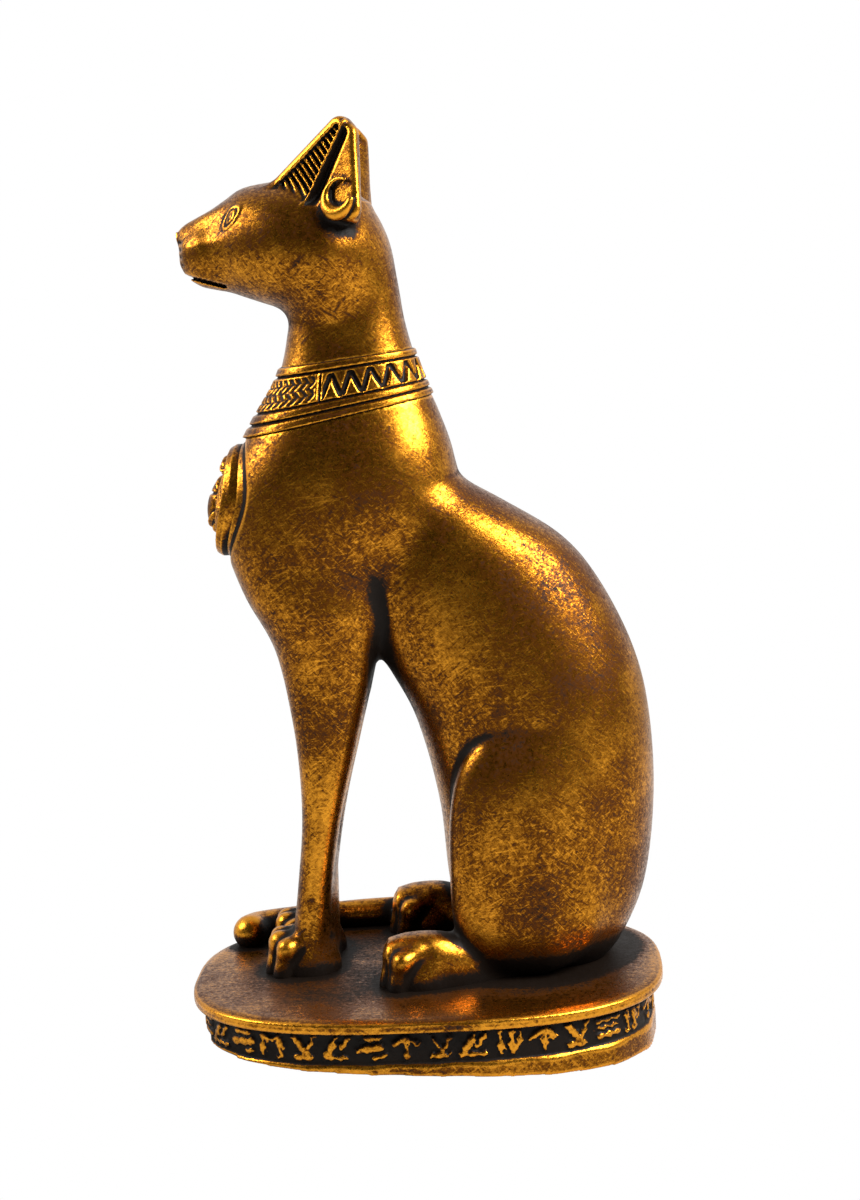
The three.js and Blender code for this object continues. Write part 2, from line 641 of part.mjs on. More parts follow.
/** Merges edges, the least noticeable first, until the wanted number of triangles is left. */
function thinOut(mesh, wanted) {
  const points = mesh.points;
  let faces = mesh.faces;
  const quadrics = new Float64Array((points.length / 3) * quadricSize);
  const weights = new Float64Array(points.length / 3);
  const p = [new THREE.Vector3(), new THREE.Vector3(), new THREE.Vector3()];
  const normal = new THREE.Vector3();
  const side = new THREE.Vector3();
  const before = new THREE.Vector3();
  const load = (target, vertex) => target.fromArray(points, vertex * 3);
  for (let face = 0; face < faces.length; face += 3) {
    for (let corner = 0; corner < 3; corner += 1) load(p[corner], faces[face + corner]);
    normal.subVectors(p[1], p[0]).cross(side.subVectors(p[2], p[0]));
    const area = normal.length() / 2;
    if (area < 1e-9) continue;
    normal.normalize();
    const plane = [normal.x, normal.y, normal.z, -normal.dot(p[0])];
    for (let corner = 0; corner < 3; corner += 1) {
      const vertex = faces[face + corner];
      let slot = vertex * quadricSize;
      for (let row = 0; row < 4; row += 1) {
        for (let col = row; col < 4; col += 1) {
          quadrics[slot] += plane[row] * plane[col] * area;
          slot += 1;
        }
      }
      weights[vertex] += area;
    }
  }
  const sum = new Float64Array(quadricSize);
  const spot = new THREE.Vector3();
  const errorAt = (x, y, z) => {
    const q = sum;
    return q[0] * x * x + q[4] * y * y + q[7] * z * z + q[9]
      + 2 * (q[1] * x * y + q[2] * x * z + q[5] * y * z + q[3] * x + q[6] * y + q[8] * z);
  };
  const bestSpot = (a, b) => {
    for (let term = 0; term < quadricSize; term += 1) {
      sum[term] = quadrics[a * quadricSize + term] + quadrics[b * quadricSize + term];
    }
    const [xx, xy, xz, xw, yy, yz, yw, zz, zw] = sum;
    const weight = weights[a] + weights[b];
    load(p[0], a);
    load(p[1], b);
    const pull = weight * middlePull;
    const mid = spot.addVectors(p[0], p[1]).multiplyScalar(0.5);
    const [axx, ayy, azz] = [xx + pull, yy + pull, zz + pull];
    const [rx, ry, rz] = [pull * mid.x - xw, pull * mid.y - yw, pull * mid.z - zw];
    const determinant = axx * (ayy * azz - yz * yz) - xy * (xy * azz - yz * xz) + xz * (xy * yz - ayy * xz);
    if (Math.abs(determinant) > 1e-12) {
      const x = rx * (ayy * azz - yz * yz) - xy * (ry * azz - yz * rz) + xz * (ry * yz - ayy * rz);
      const y = axx * (ry * azz - yz * rz) - rx * (xy * azz - yz * xz) + xz * (xy * rz - ry * xz);
      const z = axx * (ayy * rz - ry * yz) - xy * (xy * rz - ry * xz) + rx * (xy * yz - ayy * xz);
      spot.set(x, y, z).divideScalar(determinant);
    }
    const length = p[0].distanceToSquared(p[1]);
    return Math.max(errorAt(spot.x, spot.y, spot.z), 0) / weight + length * lengthPenalty;
  };
  const starts = new Int32Array(points.length / 3 + 1);
  let users = new Int32Array(faces.length);
  const touched = new Uint8Array(points.length / 3);
  const marks = new Int32Array(points.length / 3).fill(-1);
  let markCount = 0;
  const shape = (size, a, b, c) => {
    const longest = Math.max(a.distanceToSquared(b), b.distanceToSquared(c), c.distanceToSquared(a));
    return size / Math.max(longest, 1e-12);
  };
  const keepsShape = (vertex, other) => {
    for (let use = starts[vertex]; use < starts[vertex + 1]; use += 1) {
      const face = users[use] * 3;
      const corner = faces[face] === vertex ? 0 : faces[face + 1] === vertex ? 1 : 2;
      const second = faces[face + ((corner + 1) % 3)];
      const third = faces[face + ((corner + 2) % 3)];
      if (second === other || third === other) continue;
      load(p[0], vertex);
      load(p[1], second);
      load(p[2], third);
      before.subVectors(p[1], p[0]).cross(side.subVectors(p[2], p[0]));
      normal.subVectors(p[1], spot).cross(side.subVectors(p[2], spot));
      const [oldSize, size] = [before.length(), normal.length()];
      const newShape = shape(size, spot, p[1], p[2]);
      const oldShape = shape(oldSize, p[0], p[1], p[2]);
      if (newShape < leastShape && newShape < oldShape) return false;
      if (oldShape > leastShape / 4 && normal.dot(before) < flatEnough * size * oldSize) return false;
    }
    return true;
  };
  const sharedRing = (a, b) => {
    markCount += 1;
    for (let use = starts[a]; use < starts[a + 1]; use += 1) {
      for (let corner = 0; corner < 3; corner += 1) marks[faces[users[use] * 3 + corner]] = markCount;
    }
    marks[a] = -1;
    marks[b] = -1;
    let shared = 0;
    for (let use = starts[b]; use < starts[b + 1]; use += 1) {
      for (let corner = 0; corner < 3; corner += 1) {
        const vertex = faces[users[use] * 3 + corner];
        if (marks[vertex] === markCount) {
          shared += 1;
          marks[vertex] = -1;
        }
      }
    }
    return shared;
  };
  let limit = smallestError;
  while (faces.length / 3 > wanted && limit < largestError) {
    starts.fill(0);
    for (const vertex of faces) starts[vertex + 1] += 1;
    for (let vertex = 1; vertex < starts.length; vertex += 1) starts[vertex] += starts[vertex - 1];
    users = new Int32Array(faces.length);
    const fill = starts.slice();
    for (let corner = 0; corner < faces.length; corner += 1) {
      users[fill[faces[corner]]] = Math.floor(corner / 3);
      fill[faces[corner]] += 1;
    }
    touched.fill(0);
    let left = faces.length / 3;
    const candidates = [];
    for (let corner = 0; corner < faces.length; corner += 1) {
      const a = faces[corner];
      const b = faces[corner % 3 === 2 ? corner - 2 : corner + 1];
      const error = a < b ? bestSpot(a, b) : Infinity;
      if (error <= limit) candidates.push([error, a, b]);
    }
    candidates.sort((first, second) => first[0] - second[0]);
    for (const [, a, b] of candidates) {
      if (left <= wanted) break;
      if (touched[a] || touched[b]) continue;
      bestSpot(a, b);
      if (sharedRing(a, b) !== 2 || !keepsShape(a, b) || !keepsShape(b, a)) continue;
      spot.toArray(points, a * 3);
      for (let term = 0; term < quadricSize; term += 1) quadrics[a * quadricSize + term] = sum[term];
      weights[a] += weights[b];
      for (const vertex of [a, b]) {
        for (let use = starts[vertex]; use < starts[vertex + 1]; use += 1) {
          for (let k = 0; k < 3; k += 1) touched[faces[users[use] * 3 + k]] = 1;
        }
      }
      for (let use = starts[b]; use < starts[b + 1]; use += 1) {
        for (let k = 0; k < 3; k += 1) {
          const slot = users[use] * 3 + k;
          if (faces[slot] === b) faces[slot] = a;
        }
      }
      left -= 2;
    }
    const kept = [];
    for (let face = 0; face < faces.length; face += 3) {
      const [a, b, c] = [faces[face], faces[face + 1], faces[face + 2]];
      if (a !== b && b !== c && a !== c) kept.push(a, b, c);
    }
    if (kept.length > faces.length * slowPass) limit *= limitGrowth;
    faces = Int32Array.from(kept);
  }
  return { points, faces };
}

/** A BufferGeometry from points and triangles. */
function geometryFrom(points, faces) {
  const geometry = new THREE.BufferGeometry();
  geometry.setAttribute("position", new THREE.BufferAttribute(Float32Array.from(points), 3));
  geometry.setIndex(new THREE.BufferAttribute(Uint32Array.from(faces), 1));
  return geometry;
}

/** A solid for joining and cutting, from a closed geometry. */
function solidFrom(geometry) {
  const bare = geometry.clone();
  bare.deleteAttribute("normal");
  bare.deleteAttribute("uv");
  const merged = mergeVertices(bare, tiny);
  return new wasm.Manifold(new wasm.Mesh({
    numProp: 3,
    vertProperties: Float32Array.from(merged.attributes.position.array),
    triVerts: Uint32Array.from(merged.index.array),
  }));
}

/** The cat's own solid, at its place on the plinth's top. */
function catSolid() {
  const [sides, lengths, heights] = gridSides;
  const places = [gridPlaces(...sides, []), gridPlaces(...lengths, []), gridPlaces(...heights, fineBands)];
  const fine = thinOut(surface(catGap, places), figureTriangles);
  const used = new Map();
  const points = [];
  const faces = [];
  for (const vertex of fine.faces) {
    if (!used.has(vertex)) {
      used.set(vertex, used.size);
      for (let axis = 0; axis < 3; axis += 1) points.push(fine.points[vertex * 3 + axis] * share);
    }
    faces.push(used.get(vertex));
  }
  return solidFrom(geometryFrom(points, faces)).translate(catPlace);
}

/** A point of the plinth's outline, drawn in from the slab's edge. */
function outlinePoint(turn, inset) {
  const [c, s] = [Math.cos(turn), Math.sin(turn)];
  const bend = (value) => Math.sign(value) * Math.abs(value) ** (2 / plinthPower);
  return new THREE.Vector2((plinthWidth / 2 - inset) * bend(c), (plinthLength / 2 - inset) * bend(s));
}

/** A closed block made of outlines stacked from bottom to top, each with an inset and a height. */
function stackedBlock(levels) {
  const points = [];
  const faces = [];
  for (const [inset, height] of levels) {
    for (let step = 0; step < outlineSteps; step += 1) {
      const spot = outlinePoint((step / outlineSteps) * Math.PI * 2, inset);
      points.push(spot.x, spot.y, height);
    }
  }
  const top = (levels.length - 1) * outlineSteps;
  for (let step = 0; step < outlineSteps; step += 1) {
    const next = (step + 1) % outlineSteps;
    for (let level = 0; level < levels.length - 1; level += 1) {
      const low = level * outlineSteps;
      const high = low + outlineSteps;
      faces.push(low + step, low + next, high + next);
      faces.push(low + step, high + next, high + step);
    }
    if (step > 0 && next > 0) {
      faces.push(0, next, step);
      faces.push(top, top + step, top + next);
    }
  }
  return geometryFrom(points, faces);
}

const slabLow = -slabThickness;
const bandLow = slabLow - bandHeight;
const bandMiddle = slabLow - bandHeight / 2;
const footDeep = -plinthMiddleHeight * 2;
const signHeight = bandHeight - signMargin * 2;

/** The plinth's solid with its slab, band and foot, its top at height 0 of the figure's frame. */
function plinthSolid() {
  return solidFrom(stackedBlock([
    [footInset, footDeep],
    [footInset, bandLow - footRise],
    [bandInset, bandLow],
    [bandInset, slabLow],
    [slabEdgeRadius, slabLow],
    [0, -slabEdgeRadius],
    [slabEdgeRadius, 0],
  ]));
}

// The strokes of one sign: across, up, width, height and turn in degrees, as shares of the sign's height
const signs = [
  [[0, 0, 0.22, 1, 0], [0.34, -0.2, 0.2, 0.6, 0]],
  [[-0.1, 0.3, 0.9, 0.22, 0], [-0.1, -0.12, 0.9, 0.22, 0]],
  [[-0.15, 0, 0.22, 1, 24], [0.22, -0.26, 0.22, 0.5, -24]],
  [[0, 0.1, 0.6, 0.3, -18], [0.02, -0.32, 0.2, 0.36, 0]],
];

/** A row of shallow upright strokes around the band. */
function signSolids() {
  const turns = 720;
  const lengths = [0];
  const spots = [];
  for (let step = 0; step <= turns; step += 1) {
    spots.push(outlinePoint((step / turns) * Math.PI * 2, bandInset));
    if (step > 0) lengths.push(lengths[step - 1] + spots[step].distanceTo(spots[step - 1]));
  }
  const count = Math.floor(lengths[turns] / signPitch);
  const solids = [];
  let step = 0;
  for (let index = 0; index < count; index += 1) {
    while (lengths[step] < (lengths[turns] * index) / count) step += 1;
    const here = spots[step];
    const next = spots[(step + 1) % turns];
    const heading = Math.atan2(next.y - here.y, next.x - here.x);
    for (const [across, up, width, height, turn] of signs[index % signs.length]) {
      const stroke = new THREE.BoxGeometry(width * signHeight, signDepth * 2, height * signHeight);
      stroke.rotateY(THREE.MathUtils.degToRad(turn));
      stroke.translate(across * signHeight, 0, bandMiddle + up * signHeight);
      stroke.rotateZ(heading);
      stroke.translate(here.x, here.y, 0);
      solids.push(solidFrom(stroke));
    }
  }
  return solids;
}

/** Tilts a solid from the figure's frame to the ground's frame. */
function stand(solid) {
  return solid.rotate([plinthSlope, 0, 0]).translate([0, 0, plinthMiddleHeight]);
}

const ground = new THREE.BoxGeometry(plinthWidth * 2, plinthLength * 2, plinthMiddleHeight * 4);
ground.translate(0, 0, -plinthMiddleHeight * 2);

const plinth = signSolids().reduce((whole, stroke) => whole.add(stroke), plinthSolid());
const statue = stand(plinth.add(catSolid())).subtract(solidFrom(ground));
// The outermost skin alone, so that the small pockets closed in under the tail are solid
const skins = statue.decompose();
const outer = skins.reduce((largest, skin) => (skin.volume() > largest.volume() ? skin : largest));
const result = outer.getMesh();

const bronzePaint = new THREE.MeshStandardMaterial({ color: 0x8a6124, roughness: 0.4, metalness: 0.85 });
const cat = new THREE.Mesh(geometryFrom(result.vertProperties, result.triVerts), bronzePaint);
cat.name = "cat_statue";

const model = new THREE.Group();
model.add(cat);

export default model;
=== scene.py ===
# %% [markdown]
# # A gold-bronze cat on an oval plinth
# The real object looks like a resin casting, about 250 mm tall by estimate. Such a figure is
# sculpted in clay, cast, painted black-brown and rubbed with gold-bronze paint.
# The lesson follows the same order: sculpt, carve, cast, paint, light.

# %% Frame and libraries
import math
import bmesh
import bpy
import numpy as np
import openvdb
from mathutils import Matrix, Vector


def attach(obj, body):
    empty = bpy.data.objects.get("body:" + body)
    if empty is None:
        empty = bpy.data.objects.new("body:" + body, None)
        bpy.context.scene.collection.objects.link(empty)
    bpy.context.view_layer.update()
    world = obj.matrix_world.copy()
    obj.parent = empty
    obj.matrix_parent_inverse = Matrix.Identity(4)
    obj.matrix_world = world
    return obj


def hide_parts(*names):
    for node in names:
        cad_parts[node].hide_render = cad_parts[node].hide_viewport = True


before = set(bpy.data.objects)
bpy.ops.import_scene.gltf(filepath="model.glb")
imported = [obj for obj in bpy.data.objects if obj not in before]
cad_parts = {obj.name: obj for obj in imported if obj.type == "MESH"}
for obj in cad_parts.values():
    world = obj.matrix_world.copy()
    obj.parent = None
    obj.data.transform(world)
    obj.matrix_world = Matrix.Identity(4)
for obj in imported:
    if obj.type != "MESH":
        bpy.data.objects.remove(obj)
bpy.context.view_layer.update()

# %% [markdown]
# The cat is carved in shares of its own height, where 100 runs from its soles to the ear
# tips. The plinth's top falls a little towards the front, as if its underside was ground
# unevenly. So the cat is made upright, leaned with the plinth and sunk a little in its top.

# %% Driving sizes
FIGURE_HEIGHT = 0.2384
CAT_PLACE = (-0.0092, -0.0008, -0.0023)  # to the cat's right of the plinth's middle, and sunk
PLINTH_LENGTH = 0.132
PLINTH_WIDTH = 0.092
PLINTH_MIDDLE = 0.0161
PLINTH_SLOPE = math.radians(3.1)
SLAB_THICKNESS = 0.0034
BAND_HEIGHT = 0.0086
BAND_INSET = 0.0036
FOOT_INSET = 0.0026
PLINTH_POWER = 2.72
SHARE = FIGURE_HEIGHT / 100
STAND = Matrix.Translation((0, 0, PLINTH_MIDDLE)) @ Matrix.Rotation(PLINTH_SLOPE, 4, "X")
CAT_STAND = STAND @ Matrix.Translation(CAT_PLACE)

# %% [markdown]
# Each mass of the cat follows a few measured rows: at this height, the front is here, the
# back is there and it is this wide. A smooth curve through the rows fills in the rest. This
# is how a carver works from side and front templates.

# %% Templates
# Body, column and foreleg: height, front, back and half width
BODY = [
    (-2, 9.4, 19.2, 5.2), (0, 8, 21, 6.4), (3.4, 5.4, 23.8, 8.9), (10.2, 3.4, 26.7, 10.5),
    (20.5, 2.6, 28.1, 10.7), (30.7, 0.3, 27.8, 10.4), (38.3, -3.3, 26.1, 9.9),
    (46, -5.7, 22.5, 9.1), (51.1, -5.8, 18.5, 8.2), (55.4, -5.5, 12.2, 6.9),
    (58.8, -5.4, 6.3, 5.1), (61.4, -5.1, 0.9, 3.4),
]
COLUMN = [
    (34.5, -13.2, -6, 5.2), (40.9, -15.9, -3.6, 7.4), (46, -18.6, -2.5, 8.2),
    (51.1, -20.6, 1.5, 8.7), (56.2, -20.9, 6.6, 8.9), (61.4, -19.3, 6.4, 8.6),
    (66.5, -16.5, 4.9, 7.4), (71.6, -13.3, 2.9, 6.1), (76.7, -11.9, 1.6, 5.5),
    (81.8, -10.9, 0.9, 5.4), (86, -9.4, -0.3, 4.8), (89.5, -8.5, -2.6, 3.4),
]
FORELEG = [
    (-2, -16.6, -11.8, 3.1), (0, -16.2, -11.5, 3.1), (6, -15.4, -11, 3.0),
    (11.9, -14.5, -10.4, 2.8), (19.6, -13.6, -8.9, 2.8), (28.1, -13.7, -6.6, 3.2),
    (36.6, -14.7, -4.3, 3.8), (42.6, -15.6, -3.5, 4.2), (46.5, -17, -4.2, 3.6),
    (50, -17.4, -6, 2.3),
]
# Head and hind foot: place from front to back, top, underside and half width
HEAD = [
    (-24, 88.2, 84.6, 0.6), (-23.2, 89.2, 83.2, 2.2), (-21.7, 89.9, 82.1, 3.3),
    (-20, 90.7, 81.6, 3.9), (-18.3, 91.7, 81.2, 4.8), (-16.2, 92.9, 80.4, 6.2),
    (-13.2, 93.4, 79.3, 7.5), (-10.2, 93.5, 78.4, 8.2), (-6.8, 93.1, 77.5, 8.4),
    (-4, 91.7, 78.6, 7.3), (-2, 89.6, 80.6, 4.9), (-1.3, 87.5, 82.8, 2.6),
]
HIND_FOOT = [
    (-3.8, 6.2, -2, 2.6), (-1.5, 6.8, -2, 2.9), (2.2, 6.8, -2, 2.8), (5.5, 5.6, -2, 2.7),
    (9, 4.4, -2, 2.6), (14, 3.4, -2, 2.4),
]
# Tail: place across, place from front to back, height and radius
TAIL = [
    (0, 19.8, 3.8, 2.9), (-6.6, 19.2, 3, 2.6), (-11, 13.5, 2.5, 2.1), (-13, 4, 2.3, 1.95),
    (-13, -7, 2.3, 1.85), (-11.8, -16, 2.2, 1.75), (-8.8, -21, 2.35, 2),
    (-6.4, -22.2, 2.5, 2.15),
]


def smooth_rows(rows, samples=40):
    """Points of a smooth curve through the rows."""
    knots = np.array(rows, float)
    padded = np.vstack([knots[:1], knots, knots[-1:]])
    steps = np.linspace(0, 1, samples, endpoint=False)[:, None]
    pieces = []
    for index in range(len(knots) - 1):
        a, b, c, d = padded[index:index + 4]
        pull_b, pull_c = (c - a) / 2, (d - b) / 2
        pieces.append(
            (2 * b - 2 * c + pull_b + pull_c) * steps ** 3
            + (-3 * b + 3 * c - 2 * pull_b - pull_c) * steps ** 2 + pull_b * steps + b
        )
    return np.vstack(pieces + [knots[-1:]])


class Template:
    """Numbers read along the first column of a smooth curve."""

    def __init__(self, rows):
        self.table = smooth_rows(rows)
        self.start, self.end = rows[0][0], rows[-1][0]

    def read(self, place):
        """The other columns' values where the first has the given one."""
        return [np.interp(place, self.table[:, 0], column) for column in self.table.T[1:]]


body, column, foreleg = Template(BODY), Template(COLUMN), Template(FORELEG)
head, hind_foot = Template(HEAD), Template(HIND_FOOT)
row_count = sum(len(rows) for rows in (BODY, COLUMN, FORELEG, HEAD, HIND_FOOT, TAIL))
print("templates hold", row_count, "rows")

# %% [markdown]
# A section's squareness is the power in its outline: 2 is a plain oval, and more is boxier.
# A fillet's reach says how far from their meeting line two masses melt together, in shares.

# %% Squareness and fillets
SQUARENESS = {
    "body": 2.25, "column": 2.5, "foreleg": 2.3, "hind foot": 2.6, "head": 2.15, "web": 2,
}
FILLET = {
    "toes": 0.3, "knuckle": 0.8, "hind paw": 0.5, "hind foot": 1.2, "forepaw": 0.9, "web": 0.7,
    "foreleg": 2.6, "thigh": 0.8, "thigh rear": 2.2, "chest": 2, "shoulder": 1.6,
    "cranium": 0.6, "skull": 2.4, "ear": 0.9, "ear rim": 0.9, "ear face": 0.8, "bevel": 0.3,
}

# %% [markdown]
# The form is a distance field: every point of space knows how far it lies outside the clay.
# Two masses join by taking the smaller distance, and a soft minimum gives the fillet that a
# thumb leaves. It is chosen over joined meshes because no seam shows where masses meet.

# %% Clay tools


def blend(a, b, reach):
    """Joins two distances with a soft fillet of the given reach."""
    overlap = np.maximum(reach - np.abs(a - b), 0) / reach
    return np.minimum(a, b) - overlap * overlap * reach / 4


def meet(a, b, reach):
    """Keeps what lies inside both distances, with a soft edge."""
    return -blend(-a, -b, reach)


def ease(start, end, place):
    """A soft step from 0 to 1."""
    along = np.clip((place - start) / (end - start), 0, 1)
    return along * along * (3 - 2 * along)


def ridge(place, middle, half_width):
    """A soft ridge of height 1."""
    return 1 - ease(0, half_width, np.abs(place - middle))


def section_gap(p, q, half_p, half_q, power):
    """How far a point lies outside a rounded section."""
    reach = np.hypot(p, q)
    ratio = ((np.abs(p) / half_p) ** power + (np.abs(q) / half_q) ** power) ** (1 / power)
    ratio = np.maximum(ratio, 1e-4)
    return np.where(ratio < 2e-4, -np.minimum(half_p, half_q), reach - reach / ratio)


def ellipsoid_gap(x, y, h, half_x, half_y, half_h):
    """How far a point lies outside an ellipsoid."""
    near = np.sqrt((x / half_x) ** 2 + (y / half_y) ** 2 + (h / half_h) ** 2)
    slope = np.sqrt((x / half_x ** 2) ** 2 + (y / half_y ** 2) ** 2 + (h / half_h ** 2) ** 2)
    return near * (near - 1) / np.maximum(slope, 1e-4)


def rod_gap(x, y, h, a, b):
    """How far a point lies outside a tapering rod from a to b."""
    run = [b[axis] - a[axis] for axis in range(3)]
    off = [x - a[0], y - a[1], h - a[2]]
    along = sum(o * r for o, r in zip(off, run)) / sum(r * r for r in run)
    along = np.clip(along, 0, 1)
    miss = [o - r * along for o, r in zip(off, run)]
    return np.sqrt(sum(m * m for m in miss)) - (a[3] + (b[3] - a[3]) * along)


def upright_gap(template, side, x, y, h, power):
    """A mass measured along the height."""
    front, back, half = template.read(h)
    gap = section_gap(x - side, y - (front + back) / 2, half, (back - front) / 2, power)
    return np.maximum(gap, np.maximum(h - template.end, template.start - h))


def lying_gap(template, side, x, y, h, power):
    """A mass measured backwards from the nose or toes."""
    top, low, half = template.read(y)
    gap = section_gap(x - side, h - (top + low) / 2, half, (top - low) / 2, power)
    return np.maximum(gap, np.maximum(y - template.end, template.start - y))


# %% [markdown]
# Paws and tail are rods: a toe is two short rods bent at the knuckle, and four of them lie
# side by side over a rounded paw. The tail is one long bent rod around the right side.

# %% Paws and tail
FORELEG_SIDE = 3.6
FOREPAW_FRONT = -19.2
HIND_FOOT_SIDE = 10.1
HIND_PAW_FRONT = -5.2
HEEL_INWARDS = 3.4
TOE_RADIUS = 1.12
TOE_PITCH = 1.75
TOE_RETREAT = 0.55
TOES = (-1.5, -0.5, 0.5, 1.5)  # places across the paw, in pitches
KNUCKLE_HEIGHT = 4.7
KNUCKLE_FALL = 0.2
KNUCKLE_BACK = 1.9
WRIST_SPREAD = 0.6
WRIST_RISE = 0.4
PAW_LENGTH = 5
PAW_HEIGHT = 1.2
PAW_HALF = (3.4, 4.2, 4.6)


def paw_gap(x, y, h, side, front):
    """Four bent toes side by side over a rounded paw."""
    gap = ellipsoid_gap(x - side, y - front - PAW_LENGTH, h - PAW_HEIGHT, *PAW_HALF)
    for toe in TOES:
        across = side + toe * TOE_PITCH
        back = front + TOE_RETREAT * toe * toe
        knuckle_height = KNUCKLE_HEIGHT - KNUCKLE_FALL * toe * toe
        knuckle = (across, back + KNUCKLE_BACK, knuckle_height, TOE_RADIUS)
        wrist_side = side + toe * TOE_PITCH * WRIST_SPREAD
        wrist = (wrist_side, front + PAW_LENGTH, KNUCKLE_HEIGHT + WRIST_RISE, TOE_RADIUS)
        tip = (across, back + TOE_RADIUS, TOE_RADIUS, TOE_RADIUS)
        upper, lower = rod_gap(x, y, h, wrist, knuckle), rod_gap(x, y, h, knuckle, tip)
        gap = blend(gap, blend(upper, lower, FILLET["knuckle"]), FILLET["toes"])
    return gap


TAIL_BEADS = smooth_rows(TAIL, 5)


def tail_gap(x, y, h):
    """The tail as a row of tapering rods."""
    gap = np.full(x.shape, np.inf)
    for a, b in zip(TAIL_BEADS[:-1], TAIL_BEADS[1:]):
        gap = np.minimum(gap, rod_gap(x, y, h, a, b))
    return gap


# %% [markdown]
# An ear is a leaf with a hollow outer face. It gets its own frame: along its foot (u), up to
# its tip (v) and outwards (w), so that ribs, rims and the hoop lie on it as on a flat plate.

# %% Ears
EAR_FRONT = np.array((3.7, -11.7, 92.05))
EAR_REAR = np.array((8.9, -3.3, 89.6))
EAR_TIP = np.array((6.9, -4.25, 98.35))
EAR_SHOULDER = (1.27, -0.67)  # from the tip to the blunt corner behind it
EAR_ROUND = 1.5
EAR_RIM_FRONT = 0.95
EAR_RIM_EASE = 0.2
EAR_RIB_PITCH = 0.0017 / SHARE
EAR_RIB_DEPTH = 0.75
EAR_BOWL_DEPTH = 0.4
EAR_FOLD_DEPTH = 0.9
EAR_SPINE_RISE = 0.4
EAR_BULGE = 3.8
EAR_FACE = 0.55  # from the leaf's middle to its outer face
EAR_BACK = 0.5  # from the leaf's middle to its inner face
ear_along = (EAR_REAR - EAR_FRONT) / np.linalg.norm(EAR_REAR - EAR_FRONT)
ear_out = np.cross(EAR_REAR - EAR_FRONT, EAR_TIP - EAR_FRONT)
ear_out /= np.linalg.norm(ear_out)
ear_up = np.cross(ear_out, ear_along)
EAR_LENGTH = float((EAR_REAR - EAR_FRONT) @ ear_along)
TIP_ALONG = float((EAR_TIP - EAR_FRONT) @ ear_along)
TIP_UP = float((EAR_TIP - EAR_FRONT) @ ear_up)
EAR_BLUNT = (TIP_ALONG + EAR_SHOULDER[0], TIP_UP + EAR_SHOULDER[1])
EAR_CORNERS = [(0, 0), (TIP_ALONG, TIP_UP), EAR_BLUNT, (EAR_LENGTH, 0)]
SPINE_FOOT = (EAR_LENGTH * 0.45, -0.6)
SPINE_TOP = (TIP_ALONG + 0.6, TIP_UP - 0.3)


def left_of(u, v, a, b):
    """How far a flat point lies to the left of the line from a to b."""
    length = math.hypot(b[0] - a[0], b[1] - a[1])
    return ((v - a[1]) * (b[0] - a[0]) - (u - a[0]) * (b[1] - a[1])) / length


def line_gap(u, v, a, b):
    """How far a flat point lies from the line between a and b."""
    du, dv = b[0] - a[0], b[1] - a[1]
    along = np.clip(((u - a[0]) * du + (v - a[1]) * dv) / (du * du + dv * dv), 0, 1)
    return np.hypot(u - a[0] - du * along, v - a[1] - dv * along)


def plate_gap(u, v, corners):
    """How far a flat point lies outside a plate whose corners run clockwise."""
    nearest = np.full(u.shape, np.inf)
    outside = np.full(u.shape, -np.inf)
    for a, b in zip(corners, corners[1:] + corners[:1]):
        nearest = np.minimum(nearest, line_gap(u, v, a, b))
        outside = np.maximum(outside, left_of(u, v, a, b))
    return np.where(outside > 0, nearest, -nearest)


def ear_place(x, y, h):
    """A point in the ear's own frame."""
    off = (x - EAR_FRONT[0], y - EAR_FRONT[1], h - EAR_FRONT[2])
    return [sum(o * axis for o, axis in zip(off, way)) for way in (ear_along, ear_up, ear_out)]


def ear_gap(x, y, h):
    """The ear: ribs in its front half, a middle ridge, a deep fold behind it and a round back."""
    u, v, w = ear_place(x, y, h)
    outline = plate_gap(u, v, EAR_CORNERS) - EAR_ROUND
    rise = np.clip(v / TIP_UP, 0, 1)
    middle = TIP_ALONG * (0.55 + 0.45 * rise)
    round_back = 1 - ((u - middle) / (7.5 - 5 * rise)) ** 2
    bulge = EAR_BULGE * (1 - rise * 0.72) * np.sqrt(np.maximum(round_back, 0))
    spine = left_of(u, v, SPINE_FOOT, SPINE_TOP)
    within = ease(EAR_RIM_FRONT, EAR_RIM_FRONT + EAR_RIM_EASE, -outline)
    bowl = EAR_BOWL_DEPTH * within * ease(0, 0.3, spine)
    fold_wide = 0.1 + 0.35 * (1 - rise)
    fold = EAR_FOLD_DEPTH * ease(0, 0.4, -spine) * (1 - ease(0, 1.2, -spine - fold_wide))
    fold = fold * ease(0.5, 1.2, -outline)
    along_rim = (u * TIP_ALONG + v * TIP_UP) / math.hypot(TIP_ALONG, TIP_UP)
    ribs = ridge((along_rim / EAR_RIB_PITCH) % 1, 0.5, 0.36)
    cuts = EAR_RIB_DEPTH * ribs * within * ease(0.25, 0.5, spine)
    hollow = bowl + fold + cuts - EAR_SPINE_RISE * ridge(spine, 0.1, 0.4)
    leaf = meet(w - EAR_FACE + hollow, -w - EAR_BACK - bulge, FILLET["ear face"])
    return meet(outline, leaf, FILLET["ear rim"])


HOOP_MIDDLE = np.array((9.1, -4.5, 91))
HOOP_RADIUS = 1.7
HOOP_THIN = 0.2
HOOP_SWELL = 0.55
HOOP_TALLNESS = 0.88
HOOP_THICKEST = math.radians(-100)
HOOP_MOUTH = math.radians(40)
HOOP_MOUTH_HALF = math.radians(34)
HOOP_SPOT = [float(value) for value in ear_place(*HOOP_MIDDLE)]


